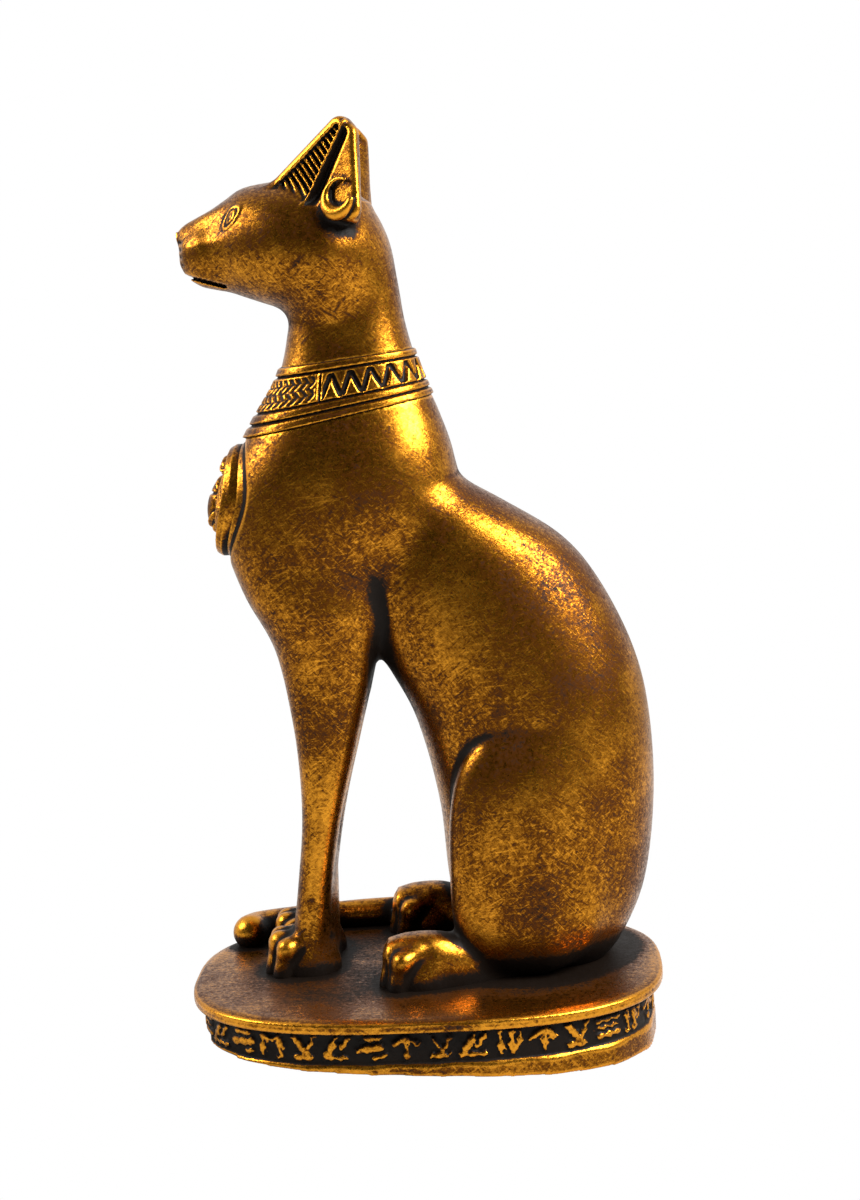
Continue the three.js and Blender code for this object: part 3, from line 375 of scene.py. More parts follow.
def hoop_gap(x, y, h):
    """A crescent hoop, thick below and thin beside its mouth."""
    u, v, w = [place - spot for place, spot in zip(ear_place(x, y, h), HOOP_SPOT)]
    turn = np.arctan2(v, u)
    thick = HOOP_THIN + HOOP_SWELL * (0.5 + 0.5 * np.cos(turn - HOOP_THICKEST)) ** 1.5
    ring = np.hypot(np.hypot(u, v * HOOP_TALLNESS) - HOOP_RADIUS, w) - thick
    return np.maximum(ring, (HOOP_MOUTH_HALF - np.abs(turn - HOOP_MOUTH)) * HOOP_RADIUS)


# %% [markdown]
# The face's carving is added to the distance: a positive rise lifts the surface, a negative
# one cuts it. Eyes, nose hollows, mouth and the notches of the muzzle are each placed by a
# point or a line of the head.

# %% Face
EYE_MIDDLE = (4.7, -17.1, 89.5)
EYE_ALONG = (0.14, 0.745, 0.65)
EYE_ACROSS = (0.63, 0.443, -0.644)
EYE_HALF_LENGTH = 1.5
EYE_HALF_WIDTH = 0.9
EYE_SEARCH = 3  # farther from its middle, there is no eye
EYE_SWELL = 0.15
LID_DEPTH = 0.22
IRIS_DEPTH = 0.12
NOSE_HOLLOW = ((3.9, -18.4, 89.2, 0), (1.5, -22.6, 88.2, 0))
NOSE_HOLLOW_WIDE = 2.3
NOSE_HOLLOW_DEPTH = 0.5
NOSE_PAD = (-24, 88)  # place from front to back and height
NOSE_PAD_RISE = 0.25
LIP_HEIGHT = 82.84
LIP_FRONT = -21.7
LIP_SLOPE = 0.3
LIP_DEPTH = 0.5
MOUTH_CORNER = -18.4
FOREHEAD_DEPTH = 0.16
MUZZLE_LOW, MUZZLE_HIGH = 84.2, 87.6
MUZZLE_PITCH = 0.85
MUZZLE_DEPTH = 0.25
CRANIUM_MIDDLE = (0, -6.8, 85.4)
CRANIUM_HALF = (8.2, 6.5, 7.6)


def face_rise(x, y, h):
    """Eyes, nose hollow, lips, nose pad, forehead's groove and the muzzle's notches."""
    off = (x - EYE_MIDDLE[0], y - EYE_MIDDLE[1], h - EYE_MIDDLE[2])
    along = sum(o * a for o, a in zip(off, EYE_ALONG))
    across = sum(o * a for o, a in zip(off, EYE_ACROSS))
    eye = np.hypot(along / EYE_HALF_LENGTH, across / EYE_HALF_WIDTH)
    eye = np.where(sum(o * o for o in off) < EYE_SEARCH ** 2, eye, np.inf)
    rise = EYE_SWELL * (1 - ease(1.0, 1.25, eye)) - LID_DEPTH * ridge(eye, 0.74, 0.22)
    rise = rise - IRIS_DEPTH * ridge(eye, 0.3, 0.18)
    beside = ease(0, NOSE_HOLLOW_WIDE, rod_gap(x, y, h, *NOSE_HOLLOW))
    rise = rise - NOSE_HOLLOW_DEPTH * (1 - beside)
    lip = LIP_HEIGHT - (y - LIP_FRONT) * LIP_SLOPE
    reach = 1 - ease(MOUTH_CORNER - 0.3, MOUTH_CORNER, y)
    rise = rise - LIP_DEPTH * (1 - ease(0.08, 0.26, np.abs(h - lip))) * reach
    pad = np.sqrt(x ** 2 + (y - NOSE_PAD[0]) ** 2 + (h - NOSE_PAD[1]) ** 2)
    rise = rise + NOSE_PAD_RISE * (1 - ease(0.3, 1.5, pad))
    rise = rise - FOREHEAD_DEPTH * ridge(x, 0, 0.4) * ease(-20, -17, y) * (h > 88)
    notch = ridge(((h - MUZZLE_LOW) / MUZZLE_PITCH) % 1, 0.5, 0.4) * ridge(x, 1.1, 0.9)
    notch = MUZZLE_DEPTH * notch * (h > MUZZLE_LOW) * (h < MUZZLE_HIGH)
    return rise - notch * (1 - ease(-22.8, -22.2, y))


# %% [markdown]
# The thigh is a boxy swelling on the haunch. Now all masses come together. Each one is only
# worked out near its own box, because the clay of the head doesn't care about the paws.

# %% The whole cat
FAR = 30.0  # a mass's distance for points outside its box
CAT_FLOOR = 0.2  # the cat's underside, inside the plinth's slab
THIGH_MIDDLE = (8.2, 13.4, 11)
THIGH_HALF = (4.3, 9.7, 19.2)
THIGH_HALF_BEHIND = 8.2
THIGH_HALF_BELOW = 9.8
THIGH_REAR = (14, 21)  # where the thigh sinks into the rump
THIGH_SINK = 1.4
THIGH_SWELL = 2.8
WEB_MIDDLE, WEB_LEAN = -12.2, 0.03
WEB_HALF = (4.2, 1.7)
WEB_TOP = 44
NEAR = {  # the corners of the box of shares in which each mass is worked out
    "body": ((-1, -14, -4), (19, 37, 66)),
    "thigh": ((-1, -2, -6), (19, 33, 40)),
    "hind foot": ((3, -9, -4), (17, 18, 13)),
    "foreleg": ((-1, -24, -4), (15, 3, 56)),
    "forepaw": ((-1, -24, -4), (12, -4, 12)),
    "column": ((-1, -28, 29), (18, 16, 92)),
    "skull": ((-1, -30, 72), (15, 7, 100)),
    "ear": ((0, -20, 82), (16, 5, 106)),
    "hoop": ((5, -10, 86), (13, 1, 96)),
    "tail": ((-24, -28, -6), (8, 30, 10)),
}


def thigh_gap(x, y, h):
    """A swelling that is boxy seen from the side."""
    length = np.where(y > THIGH_MIDDLE[1], THIGH_HALF_BEHIND, THIGH_HALF[1])
    across = np.abs(x - THIGH_MIDDLE[0]) / THIGH_HALF[0]
    back = np.abs(y - THIGH_MIDDLE[1]) / length
    tall = np.where(h > THIGH_MIDDLE[2], THIGH_HALF[2], THIGH_HALF_BELOW)
    up = np.abs(h - THIGH_MIDDLE[2]) / tall
    flat = np.maximum(np.cbrt(back ** 3 + up ** 3), 1e-4)
    size = np.maximum((across ** THIGH_SWELL + flat ** THIGH_SWELL) ** (1 / THIGH_SWELL), 1e-4)
    outward, sideways = (across / size) ** (THIGH_SWELL - 1), (flat / size) ** (THIGH_SWELL - 1)
    slope = np.sqrt((outward / THIGH_HALF[0]) ** 2 + (sideways * (back / flat) ** 2 / length) ** 2
                    + (sideways * (up / flat) ** 2 / tall) ** 2)
    sink = THIGH_SINK * ease(*THIGH_REAR, y)
    return np.maximum((size - 1) / np.maximum(slope, 1e-4), -THIGH_HALF[0]) + sink


def near(points, name, gap_of):
    """A mass's distance, worked out only in its box."""
    x, y, h = points
    found = np.full(x.shape, FAR, np.float32)
    low, high = NEAR[name]
    spot = (h > low[2]) & (h < high[2]) & (y > low[1]) & (y < high[1])
    spot = spot & (x > low[0]) & (x < high[0])
    if spot.any():
        found[spot] = gap_of(x[spot], y[spot], h[spot])
    return found


def hind_foot_gap(x, y, h):
    """The hind foot, which turns inwards under the thigh, and its paw."""
    side = HIND_FOOT_SIDE - HEEL_INWARDS * ease(1, 13, y)
    foot = lying_gap(hind_foot, side, x, y, h, SQUARENESS["hind foot"])
    return blend(foot, paw_gap(x, y, h, HIND_FOOT_SIDE, HIND_PAW_FRONT), FILLET["hind paw"])


def foreleg_gap(x, y, h):
    """The foreleg and the thin web that joins it to the other one."""
    leg = upright_gap(foreleg, FORELEG_SIDE, x, y, h, SQUARENESS["foreleg"])
    web = section_gap(x, y - WEB_MIDDLE - WEB_LEAN * h, *WEB_HALF, SQUARENESS["web"])
    return blend(leg, np.maximum(web, h - WEB_TOP), FILLET["web"])


def skull_gap(x, y, h):
    """The head, round behind."""
    cranium = ellipsoid_gap(x, y - CRANIUM_MIDDLE[1], h - CRANIUM_MIDDLE[2], *CRANIUM_HALF)
    face = lying_gap(head, 0, x, y, h, SQUARENESS["head"])
    return blend(face, cranium, FILLET["cranium"]) - face_rise(x, y, h)


def cat_gap(x, y, h):
    """How far points lie outside the cat, in shares."""
    points = (np.abs(x), y, h)
    behind = FILLET["thigh"] + FILLET["thigh rear"] * ease(*THIGH_REAR, y)
    shoulder = FILLET["chest"] + FILLET["shoulder"] * ease(39, 45, h) * (1 - ease(50, 60, h))
    gap = near(points, "body", lambda *p: upright_gap(body, 0, *p, SQUARENESS["body"]))
    gap = blend(gap, near(points, "thigh", thigh_gap), behind)
    gap = blend(gap, near(points, "hind foot", hind_foot_gap), FILLET["hind foot"])
    gap = blend(gap, near(points, "foreleg", foreleg_gap), FILLET["foreleg"])
    forepaw = near(points, "forepaw", lambda *p: paw_gap(*p, FORELEG_SIDE, FOREPAW_FRONT))
    gap = blend(gap, forepaw, FILLET["forepaw"])
    neck = near(points, "column", lambda *p: upright_gap(column, 0, *p, SQUARENESS["column"]))
    gap = blend(gap, neck, shoulder)
    gap = blend(gap, near(points, "skull", skull_gap), FILLET["skull"])
    gap = blend(gap, near(points, "ear", ear_gap), FILLET["ear"])
    gap = np.minimum(gap, near(points, "hoop", hoop_gap))
    gap = np.minimum(gap, near((x, y, h), "tail", tail_gap))
    return np.maximum(gap, CAT_FLOOR - h)


# %% [markdown]
# The collar is a band with its own height, 0 at its lower edge and 1 at its upper edge, and
# its own length around the neck. So its rings, zigzag and bib are drawn as on a flat strip.

# %% Collar
COLLAR_RELIEF = 0.36
COLLAR_TALL = 8.1
COLLAR_MIDDLE = 69.0
COLLAR_LOWER = (64.4, -17.6, 0.18)  # height, place from front to back, and slope
COLLAR_UPPER = (72.5, -12.2, 0.091)
COLLAR_RINGS = ((0.835, 0.034), (0.335, 0.034), (0.17, 0.036), (1.0, 0.03), (0.0, 0.03))
FIELD_LOW, FIELD_TALL = 0.36, 0.43  # the zigzag's and bib's field, in the collar's height
ZIGZAG_PITCH = 0.0056 / SHARE
STROKE_PITCH = 0.0021 / SHARE
STROKE_LEAN = 0.6
BIB_EDGE = 0.6  # share of the way from the back to the front where the bib starts
BIB_ROWS = 4
BIB_DEPTH = 0.45
COLLAR_FRONT, COLLAR_BACK, COLLAR_HALF = [float(value) for value in column.read(COLLAR_MIDDLE)]


def collar_length():
    """Length around the neck from the back, against the angle there."""
    angle = np.linspace(0, np.pi, 400)
    half_y = (COLLAR_BACK - COLLAR_FRONT) / 2
    spots = np.stack([COLLAR_HALF * np.sin(angle), half_y * np.cos(angle)])
    steps = np.hypot(*np.diff(spots, axis=1))
    turn = np.arctan2(spots[0], spots[1])
    return turn, np.concatenate([[0], np.cumsum(steps)])


COLLAR_TURN, COLLAR_RUN = collar_length()


def edge_height(edge, y):
    """Height of a sloping edge at a place from front to back."""
    height, place, slope = edge
    return height + (y - place) * slope


def collar_place(y, h):
    """0 at the collar's lower edge and 1 at its upper edge."""
    lower, upper = edge_height(COLLAR_LOWER, y), edge_height(COLLAR_UPPER, y)
    return (h - lower) / (upper - lower)


def collar_rise(x, y, h):
    """Rings, zigzag and the bib's small strokes."""
    place = collar_place(y, h)
    turn = np.arctan2(x, y - (COLLAR_FRONT + COLLAR_BACK) / 2)
    run = np.interp(turn, COLLAR_TURN, COLLAR_RUN)
    rings = sum(ridge(place, middle, half) for middle, half in COLLAR_RINGS)
    edge = BIB_EDGE * COLLAR_RUN[-1]
    within = (place - FIELD_LOW) / FIELD_TALL
    wave = np.abs(((run / ZIGZAG_PITCH) % 1) - 0.5) * 2
    zigzag = 1 - ease(0.16, 0.36, np.abs(wave - within))
    zigzag = zigzag * ease(0.0, 0.06, within) * (1 - ease(0.94, 1.0, within))
    zigzag = zigzag * (1 - ease(edge - 0.25, edge, run))
    bib_edge = ridge(run, edge + 0.1, 0.24)
    bib_edge = bib_edge * ease(0.33, 0.37, place) * (1 - ease(0.8, 0.85, place))
    row_place = (within * BIB_ROWS) % 1
    lean = np.where(np.floor(within * BIB_ROWS) % 2 < 0.5, STROKE_LEAN, -STROKE_LEAN)
    stroke = ridge(((run + lean * row_place) / STROKE_PITCH) % 1, 0.5, 0.42)
    between = ridge(row_place, 0.0, 0.16) + ridge(row_place, 1.0, 0.16)
    bib = np.maximum(1 - stroke, between) * ease(edge + 0.5, edge + 0.7, run)
    bib = bib * ease(0.0, 0.05, within) * (1 - ease(0.95, 1.0, within))
    depth = np.maximum.reduce([rings, zigzag, bib_edge, BIB_DEPTH * bib])
    return COLLAR_RELIEF * (1 - 1.25 * np.minimum(depth, 1))


# %% [markdown]
# The pendant is a winged beetle on an oval plaque that follows the chest, because its rise
# is added to the chest's own distance. A narrow ditch in the chest sets it off.

# %% Pendant
PENDANT_HEIGHT = 57.2
PENDANT_HALF_WIDTH = 5.6
PENDANT_HALF_HEIGHT = 6.5
PENDANT_RISE = 0.7
RIM_RISE = 0.5
FEATHER_PITCH = 0.0019 / SHARE
FEATHER_RISE = 0.5
SHELL_HALF = (2.0, 3.4)
SHELL_RISE = 1.25
DISC_HEIGHT = 4.3
DISC_RADIUS = 1.3
DISC_RISE = 0.8
DITCH_DEPTH = 0.35
CHEST_REAR = -8  # the pendant and its ditch lie in front of this place


def pendant_reach(x, h):
    """0 in the plaque's middle and 1 at its edge."""
    return np.hypot(x / PENDANT_HALF_WIDTH, (h - PENDANT_HEIGHT) / PENDANT_HALF_HEIGHT)


def pendant_rise(x, y, h):
    """The winged beetle's plaque."""
    up = h - PENDANT_HEIGHT
    reach = pendant_reach(x, h)
    rim = RIM_RISE * ridge(reach, 0.93, 0.08)
    feathers = ridge(((x * 0.7 + np.abs(up + 0.5) * 0.78) / FEATHER_PITCH) % 1, 0.5, 0.45)
    wing = ease(0.3, 0.38, reach) * (1 - ease(0.8, 0.86, reach))
    shell = 1 - (x / SHELL_HALF[0]) ** 2 - ((up + 0.4) / SHELL_HALF[1]) ** 2
    split = 0.3 * ridge(x, 0, 0.25) * (up < 0.9) + 0.35 * ridge(up, 1.0, 0.3)
    beetle = SHELL_RISE * np.sqrt(np.maximum(shell, 0)) - split * (shell > 0.05)
    dome = 1 - (x / DISC_RADIUS) ** 2 - ((up - DISC_HEIGHT) / DISC_RADIUS) ** 2
    disc = DISC_RISE * np.sqrt(np.maximum(dome, 0))
    return PENDANT_RISE + rim + FEATHER_RISE * (feathers - 0.55) * wing + beetle + disc


def chest_ditch(x, y, h):
    """The cut around the plaque."""
    return -DITCH_DEPTH * ridge(pendant_reach(x, h), 1.1, 0.12) * (y < CHEST_REAR)


# %% [markdown]
# The plinth is a stack of ovals: foot, dark band and slab. Its signs are plain strokes in the
# place of picture writing. They aren't letters. They are drawn on the band's unrolled strip,
# like the collar's zigzag, and a slow ripple makes their edges look worn.

# %% Plinth
SIGN_PITCH = 0.0092 / SHARE
SIGN_RISE = 0.0009 / SHARE
SLAB = SLAB_THICKNESS / SHARE
BAND = BAND_HEIGHT / SHARE
SLAB_EDGE = 0.0007 / SHARE
RIM_FALL = 0.0006 / SHARE
RIM_WIDE = 0.004 / SHARE
HALF_WIDE = PLINTH_WIDTH / 2 / SHARE
HALF_LONG = PLINTH_LENGTH / 2 / SHARE
FOOT_RIPPLE = 0.08
FOOT_BEVEL = 0.5
# One sign is a few strokes: start, end and half width, in shares of the band's height
SIGNS = [
    [((-0.3, 0.34), (-0.24, -0.36), 0.07), ((0.05, 0.3), (0.1, -0.34), 0.1),
     ((0.34, 0.32), (0.3, -0.1), 0.05)],
    [((-0.36, -0.3), (-0.1, 0.12), 0.11), ((-0.1, 0.12), (0.02, 0.36), 0.05),
     ((-0.2, -0.34), (0.3, -0.34), 0.06), ((0.1, -0.05), (0.34, 0.3), 0.07)],
    [((-0.4, 0.22), (0.4, 0.22), 0.06), ((-0.4, 0.0), (0.36, 0.0), 0.05),
     ((-0.3, -0.26), (0.38, -0.26), 0.08)],
    [((-0.3, 0.3), (0.08, -0.24), 0.07), ((0.08, -0.24), (0.34, 0.34), 0.06),
     ((-0.24, -0.34), (0.2, -0.34), 0.09)],
    [((-0.3, -0.3), (-0.3, 0.3), 0.08), ((-0.3, 0.3), (0.0, 0.1), 0.06),
     ((0.0, 0.1), (0.28, 0.32), 0.06), ((0.28, 0.32), (0.32, -0.34), 0.09)],
    [((-0.36, 0.05), (0.0, 0.3), 0.08), ((0.0, 0.3), (0.36, 0.02), 0.08),
     ((0.0, 0.2), (0.02, -0.36), 0.07)],
    [((-0.2, 0.28), (0.24, 0.28), 0.1), ((-0.34, -0.08), (0.3, -0.02), 0.12),
     ((0.1, -0.36), (0.36, -0.3), 0.06)],
]


def bent(first, second, power):
    """Two values, each raised to a power with its sign kept."""
    return [np.sign(value) * np.abs(value) ** power for value in (first, second)]


def strip_length():
    """Length around the band, against the turn of its outline."""
    turn = np.linspace(-np.pi, np.pi, 1441)
    bend = bent(np.cos(turn), np.sin(turn), 2 / PLINTH_POWER)
    inset = BAND_INSET / SHARE
    rim = [(HALF_WIDE - inset) * bend[0], (HALF_LONG - inset) * bend[1]]
    steps = np.hypot(*np.diff(rim, axis=1))
    return turn, np.concatenate([[0], np.cumsum(steps)])


STRIP_TURN, STRIP_RUN = strip_length()
SIGN_COUNT = int(STRIP_RUN[-1] / SIGN_PITCH)


def strip_place(x, y):
    """How far around the band a point lies."""
    bend = bent(x / HALF_WIDE, y / HALF_LONG, PLINTH_POWER / 2)
    return np.interp(np.arctan2(bend[1], bend[0]), STRIP_TURN, STRIP_RUN)


def sign_rise(x, y, h):
    """The raised strokes around the band."""
    run = strip_place(x, y)
    cell = run / STRIP_RUN[-1] * SIGN_COUNT
    number = np.floor(cell).astype(int) % SIGN_COUNT
    wobble = 0.05 * np.sin(run * 5.1 + h * 3.7) + 0.03 * np.sin(run * 11.3 - h * 9.1)
    u = (cell % 1 - 0.5) * SIGN_PITCH / BAND + wobble
    v = (h + SLAB + BAND / 2) / BAND + wobble * 0.6
    nearest = np.full(x.shape, np.inf)
    kinds = (number * 5 + number // 3) % len(SIGNS)
    for kind, strokes in enumerate(SIGNS):
        for a, b, half in strokes:
            gap = line_gap(u, v, a, b) - half
            nearest = np.where(kinds == kind, np.minimum(nearest, gap), nearest)
    return SIGN_RISE * (1 - ease(-0.02, 0.04, nearest))


def plinth_gap(x, y, h):
    """How far points lie outside the plinth, in shares."""
    rim = section_gap(x, y, HALF_WIDE, HALF_LONG, PLINTH_POWER)
    top = -RIM_FALL * ease(-RIM_WIDE, 0, rim) ** 2
    slab = meet(meet(rim, h - top, SLAB_EDGE), -SLAB - h, SLAB_EDGE)
    band = rim + BAND_INSET / SHARE - sign_rise(x, y, h)
    band = np.maximum(band, np.maximum(h + SLAB * 0.5, -SLAB - BAND * 1.3 - h))
    foot = rim + FOOT_INSET / SHARE
    ripple = FOOT_RIPPLE * np.sin(strip_place(x, y) * 0.9 + 1)
    bevel = foot + (h + SLAB + BAND + FOOT_BEVEL)
    foot = meet(np.maximum(foot + ripple, h + SLAB + BAND + 0.1), bevel, FILLET["bevel"])
    ground = -(y * math.sin(PLINTH_SLOPE) + h * math.cos(PLINTH_SLOPE) + PLINTH_MIDDLE / SHARE)
    return np.maximum(np.minimum(slab, np.minimum(band, foot)), ground)


print("plinth's band carries", SIGN_COUNT, "signs")

# %% [markdown]
# A field becomes a mesh in two steps. A coarse look finds the thin layer of space that holds
# the surface, and only that layer is worked out finely. OpenVDB then lays quads along the
# zero level, and a decimate modifier saves faces where the clay is smooth.

# %% From clay to mesh
COARSE = 5  # fine cells along a coarse one
SEARCH = 1.6  # coarse cells around the surface that are worked out finely
SLACK = 1.0  # shares added to the search, as the field isn't exact far from the surface
CHUNK = 4000  # coarse cells worked out at a time
MOST_TRIANGLES = 185000
SMOOTH_STEPS = {"cut_fine": 3, "cut_mid": 14}


def shell_values(gap_of, low, high, step):
    """Fine grid values, exact near the surface and only signed elsewhere."""
    block = step * COARSE
    blocks = [int(math.ceil((b - a) / block)) for a, b in zip(low, high)]
    axes = [low[axis] + (np.arange(blocks[axis]) + 0.5) * block for axis in range(3)]
    middles = np.meshgrid(*axes, indexing="ij")
    rough = gap_of(*[m.ravel().astype(np.float32) for m in middles]).reshape(blocks)
    values = np.repeat(np.repeat(np.repeat(np.sign(rough), COARSE, 0), COARSE, 1), COARSE, 2)
    values = (values * block).astype(np.float32)
    close = np.argwhere(np.abs(rough) < block * SEARCH + SLACK)
    inner = np.stack(np.meshgrid(*[np.arange(COARSE)] * 3, indexing="ij"), -1).reshape(-1, 3)
    for chunk in np.array_split(close, max(1, len(close) // CHUNK)):
        cells = (chunk[:, None, :] * COARSE + inner[None]).reshape(-1, 3)
        spots = [(low[axis] + cells[:, axis] * step).astype(np.float32) for axis in range(3)]
        values[tuple(cells.T)] = gap_of(*spots)
    return values


def add_object(name, data):
    """Puts a mesh, light or camera in the scene."""
    thing = bpy.data.objects.new(name, data)
    bpy.context.scene.collection.objects.link(thing)
    return thing


def read_points(mesh, what):
    """The points' places or normals as rows of three."""
    values = np.empty(len(mesh.vertices) * 3)
    mesh.vertices.foreach_get(what, values)
    return values.reshape(-1, 3)


def write_attribute(mesh, name, values):
    """Stores one number at each point for the paint to read."""
    layer = mesh.attributes.new(name, "FLOAT", "POINT")
    layer.data.foreach_set("value", values.astype(np.float32))


def mark_carving(mesh, size):
    """Stores how deep each point lies under the smoothed surface, in millimetres."""
    pairs = np.empty(len(mesh.edges) * 2, np.int32)
    mesh.edges.foreach_get("vertices", pairs)
    first, second = pairs.reshape(-1, 2).T
    spots, normals = read_points(mesh, "co"), read_points(mesh, "normal")
    count = len(spots)

    def neighbour_sum(values):
        return (np.bincount(first, values[second], count)
                + np.bincount(second, values[first], count))

    degree = np.maximum(neighbour_sum(np.ones(count)), 1)
    smooth = spots.copy()
    done = 0
    for name, steps in SMOOTH_STEPS.items():
        while done < steps:
            sums = [neighbour_sum(smooth[:, axis]) for axis in range(3)]
            smooth = np.stack(sums, 1) / degree[:, None]
            done += 1
        depth = ((smooth - spots) * normals).sum(1) * size * 1000
        write_attribute(mesh, name, depth)


def thin(thing, most):
    """Merges faces until at most so many triangles are left."""
    count = sum(len(face.vertices) - 2 for face in thing.data.polygons)
    if count > most:
        modifier = thing.modifiers.new("thin", "DECIMATE")
        modifier.ratio = most / count
        thinned = thing.evaluated_get(bpy.context.evaluated_depsgraph_get())
        fresh = bpy.data.meshes.new_from_object(thinned)
        thing.modifiers.clear()
        thing.data = fresh
    thing.data.shade_smooth()
    return count


def cast(name, gap_of, low, high, step, stand=CAT_STAND):
    """A mesh object of the field inside a box, leaned and in metres."""
    grid = openvdb.FloatGrid(step * COARSE)
    grid.copyFromArray(shell_values(gap_of, low, high, step))
    points, quads = grid.convertToQuads(0.0)
    points = np.asarray(points) * step + np.array(low)
    mesh = bpy.data.meshes.new(name)
    mesh.from_pydata(points.tolist(), [], np.asarray(quads).tolist())
    mark_carving(mesh, SHARE)
    mesh.transform(stand @ Matrix.Scale(SHARE, 4))
    thing = add_object(name, mesh)
    count = thin(thing, MOST_TRIANGLES)
    work = bmesh.new()
    work.from_mesh(thing.data)
    volume = round(work.calc_volume(signed=True) * 1e6, 1)
    work.free()
    faces = len(thing.data.polygons)
    print(name, count, "triangles, thinned to", faces, "faces, volume", volume, "ml")
    return thing


# %% [markdown]
# The statue is cast as five meshes that part in dark grooves: above and below the collar,
# around the pendant and under the paws. The joints don't show there, and the collar and the
# head can be finer than the smooth body.

# %% Casting
BODY_STEP = 0.0006 / SHARE
HEAD_STEP = 0.00042 / SHARE
COLLAR_STEP = 0.00034 / SHARE
PENDANT_STEP = 0.0003 / SHARE
PLINTH_STEP = 0.0005 / SHARE
SHELL = 0.9  # thickness of collar and pendant under the surface
OVERLAP = 0.03  # share of the collar's height by which body and head reach under it


def head_part(x, y, h):
    """What lies above the collar."""
    return np.maximum(cat_gap(x, y, h), (1 - OVERLAP - collar_place(y, h)) * COLLAR_TALL)


def body_part(x, y, h):
    """What lies below the collar, with the ditch around the pendant."""
    gap = cat_gap(x, y, h) - chest_ditch(np.abs(x), y, h)
    return np.maximum(gap, (collar_place(y, h) - OVERLAP) * COLLAR_TALL)


def collar_part(x, y, h):
    """A shell of the neck with the collar's relief."""
    gap = cat_gap(x, y, h)
    place = collar_place(y, h)
    ends = np.maximum(-place, place - 1) * COLLAR_TALL
    outer = gap - collar_rise(np.abs(x), y, h)
    return np.maximum(np.maximum(outer, ends), -SHELL - gap)


def pendant_part(x, y, h):
    """A shell of the chest with the pendant's relief."""
    gap = cat_gap(x, y, h)
    reach = (pendant_reach(np.abs(x), h) - 1) * PENDANT_HALF_WIDTH
    outer = gap - pendant_rise(np.abs(x), y, h)
    return np.maximum(np.maximum(outer, reach), np.maximum(-SHELL - gap, y - CHEST_REAR))


cat_body = cast("cat_body", body_part, (-21, -27, -2), (16, 31, 77), BODY_STEP)
cat_head = cast("cat_head", head_part, (-12.4, -27, 69), (12.4, 8, 104), HEAD_STEP)
collar = cast("collar", collar_part, (-11, -22, 60), (11, 9, 77), COLLAR_STEP)
pendant = cast("pendant", pendant_part, (-7, -25, 49), (7, -8, 65), PENDANT_STEP)
plinth = cast("plinth", plinth_gap, (-20.4, -29, -10), (20.4, 29, 1), PLINTH_STEP, STAND)
pieces = (cat_body, cat_head, collar, pendant, plinth)


def lay_flat(mesh):
    """Sets every point that the grid left a hair below the ground on the ground."""
    spots = read_points(mesh, "co")
    spots[:, 2] = np.maximum(spots[:, 2], 0)
    mesh.vertices.foreach_set("co", spots.ravel())


lay_flat(plinth.data)

# %% [markdown]
# The paint also darkens the large hollows, such as under the chin or beside a paw. This is partly
# lacquer left there and partly painted shade where parts shade each other. The clay's own distance
# tells them: a little way outside a hollow, some other part of the surface is nearer than the one
# below. On the plinth, rubbing leaves lacquer in further places.

# %% Large hollows
PROBES = (0.0025, 0.006, 0.013)
BAND_LACQUER = 0.75
TOP_LACQUER = 0.3


def figure_place(points):
    """Points of the ground's frame in the figure's own frame, in shares."""
    matrix = np.array(STAND.inverted())
    return ((points @ matrix[:3, :3].T + matrix[:3, 3]) / SHARE).astype(np.float32).T


def world_gap(points):
    """Distance outside cat and plinth, in metres, at points of the ground's frame."""
    x, y, h = figure_place(points)
    cat = cat_gap(*[place - off / SHARE for place, off in zip((x, y, h), CAT_PLACE)])
    return np.minimum(cat, plinth_gap(x, y, h)) * SHARE


def lacquer_left(points):
    """How much lacquer the rubbing left between the signs and on the slab's top."""
    x, y, h = figure_place(points)
    rim = section_gap(x, y, HALF_WIDE, HALF_LONG, PLINTH_POWER)
    within = ease(-SLAB - BAND - 0.1, -SLAB - BAND + 0.2, h) * (1 - ease(-SLAB - 0.1, -SLAB, h))
    ground = BAND_LACQUER * within * (1 - ease(0.1, 0.3, rim + BAND_INSET / SHARE))
    top = TOP_LACQUER * ease(1, 9, -rim) * ease(-0.3, -0.1, h) * (h < 0.1)
    return np.maximum(ground, top)


def mark_lacquer_and_painted_shade(mesh):
    """Stores how deep in a hollow each point lies, for lacquer and painted shade, and returns the
    mean.
    """
    spots, normals = read_points(mesh, "co"), read_points(mesh, "normal")
    hollow = np.zeros(len(spots))
    for reach in PROBES:
        outside = world_gap(spots + normals * reach) / reach
        hollow += np.clip(1 - outside, 0, 1.2) / len(PROBES)
    hollow = np.maximum(hollow, lacquer_left(spots))
    write_attribute(mesh, "hollow", hollow)
    return hollow.mean()


for thing in pieces:
    print(thing.name, "mean hollow", round(float(mark_lacquer_and_painted_shade(thing.data)), 3))

# %% [markdown]
# The finish is bronze powder in lacquer, which gives a warm gold glow with soft reflections.
# Under it lies black-brown lacquer, which stays in the hollows, and the large hollows also carry
# painted shade.

# %% Paint tools


def linear(text):
    """A colour's linear values from its sRGB hex text."""
    values = [int(text[place:place + 2], 16) / 255 for place in (1, 3, 5)]
    return [v / 12.92 if v <= 0.04045 else ((v + 0.055) / 1.055) ** 2.4 for v in values] + [1]


def add_node(tree, kind, settings=None, links=None, values=None):
    """Adds a node, sets it up and links its inputs."""
    node = tree.nodes.new(kind)
    for name, value in (settings or {}).items():
        setattr(node, name, value)
    for name, value in (values or {}).items():
        node.inputs[name].default_value = value
    for name, source in (links or {}).items():
        tree.links.new(source, node.inputs[name])
    return node


def blank_material(name):
    """A material without nodes, and its tree."""
    material = bpy.data.materials.new(name)
    material.use_nodes = True
    material.node_tree.nodes.clear()
    return material, material.node_tree


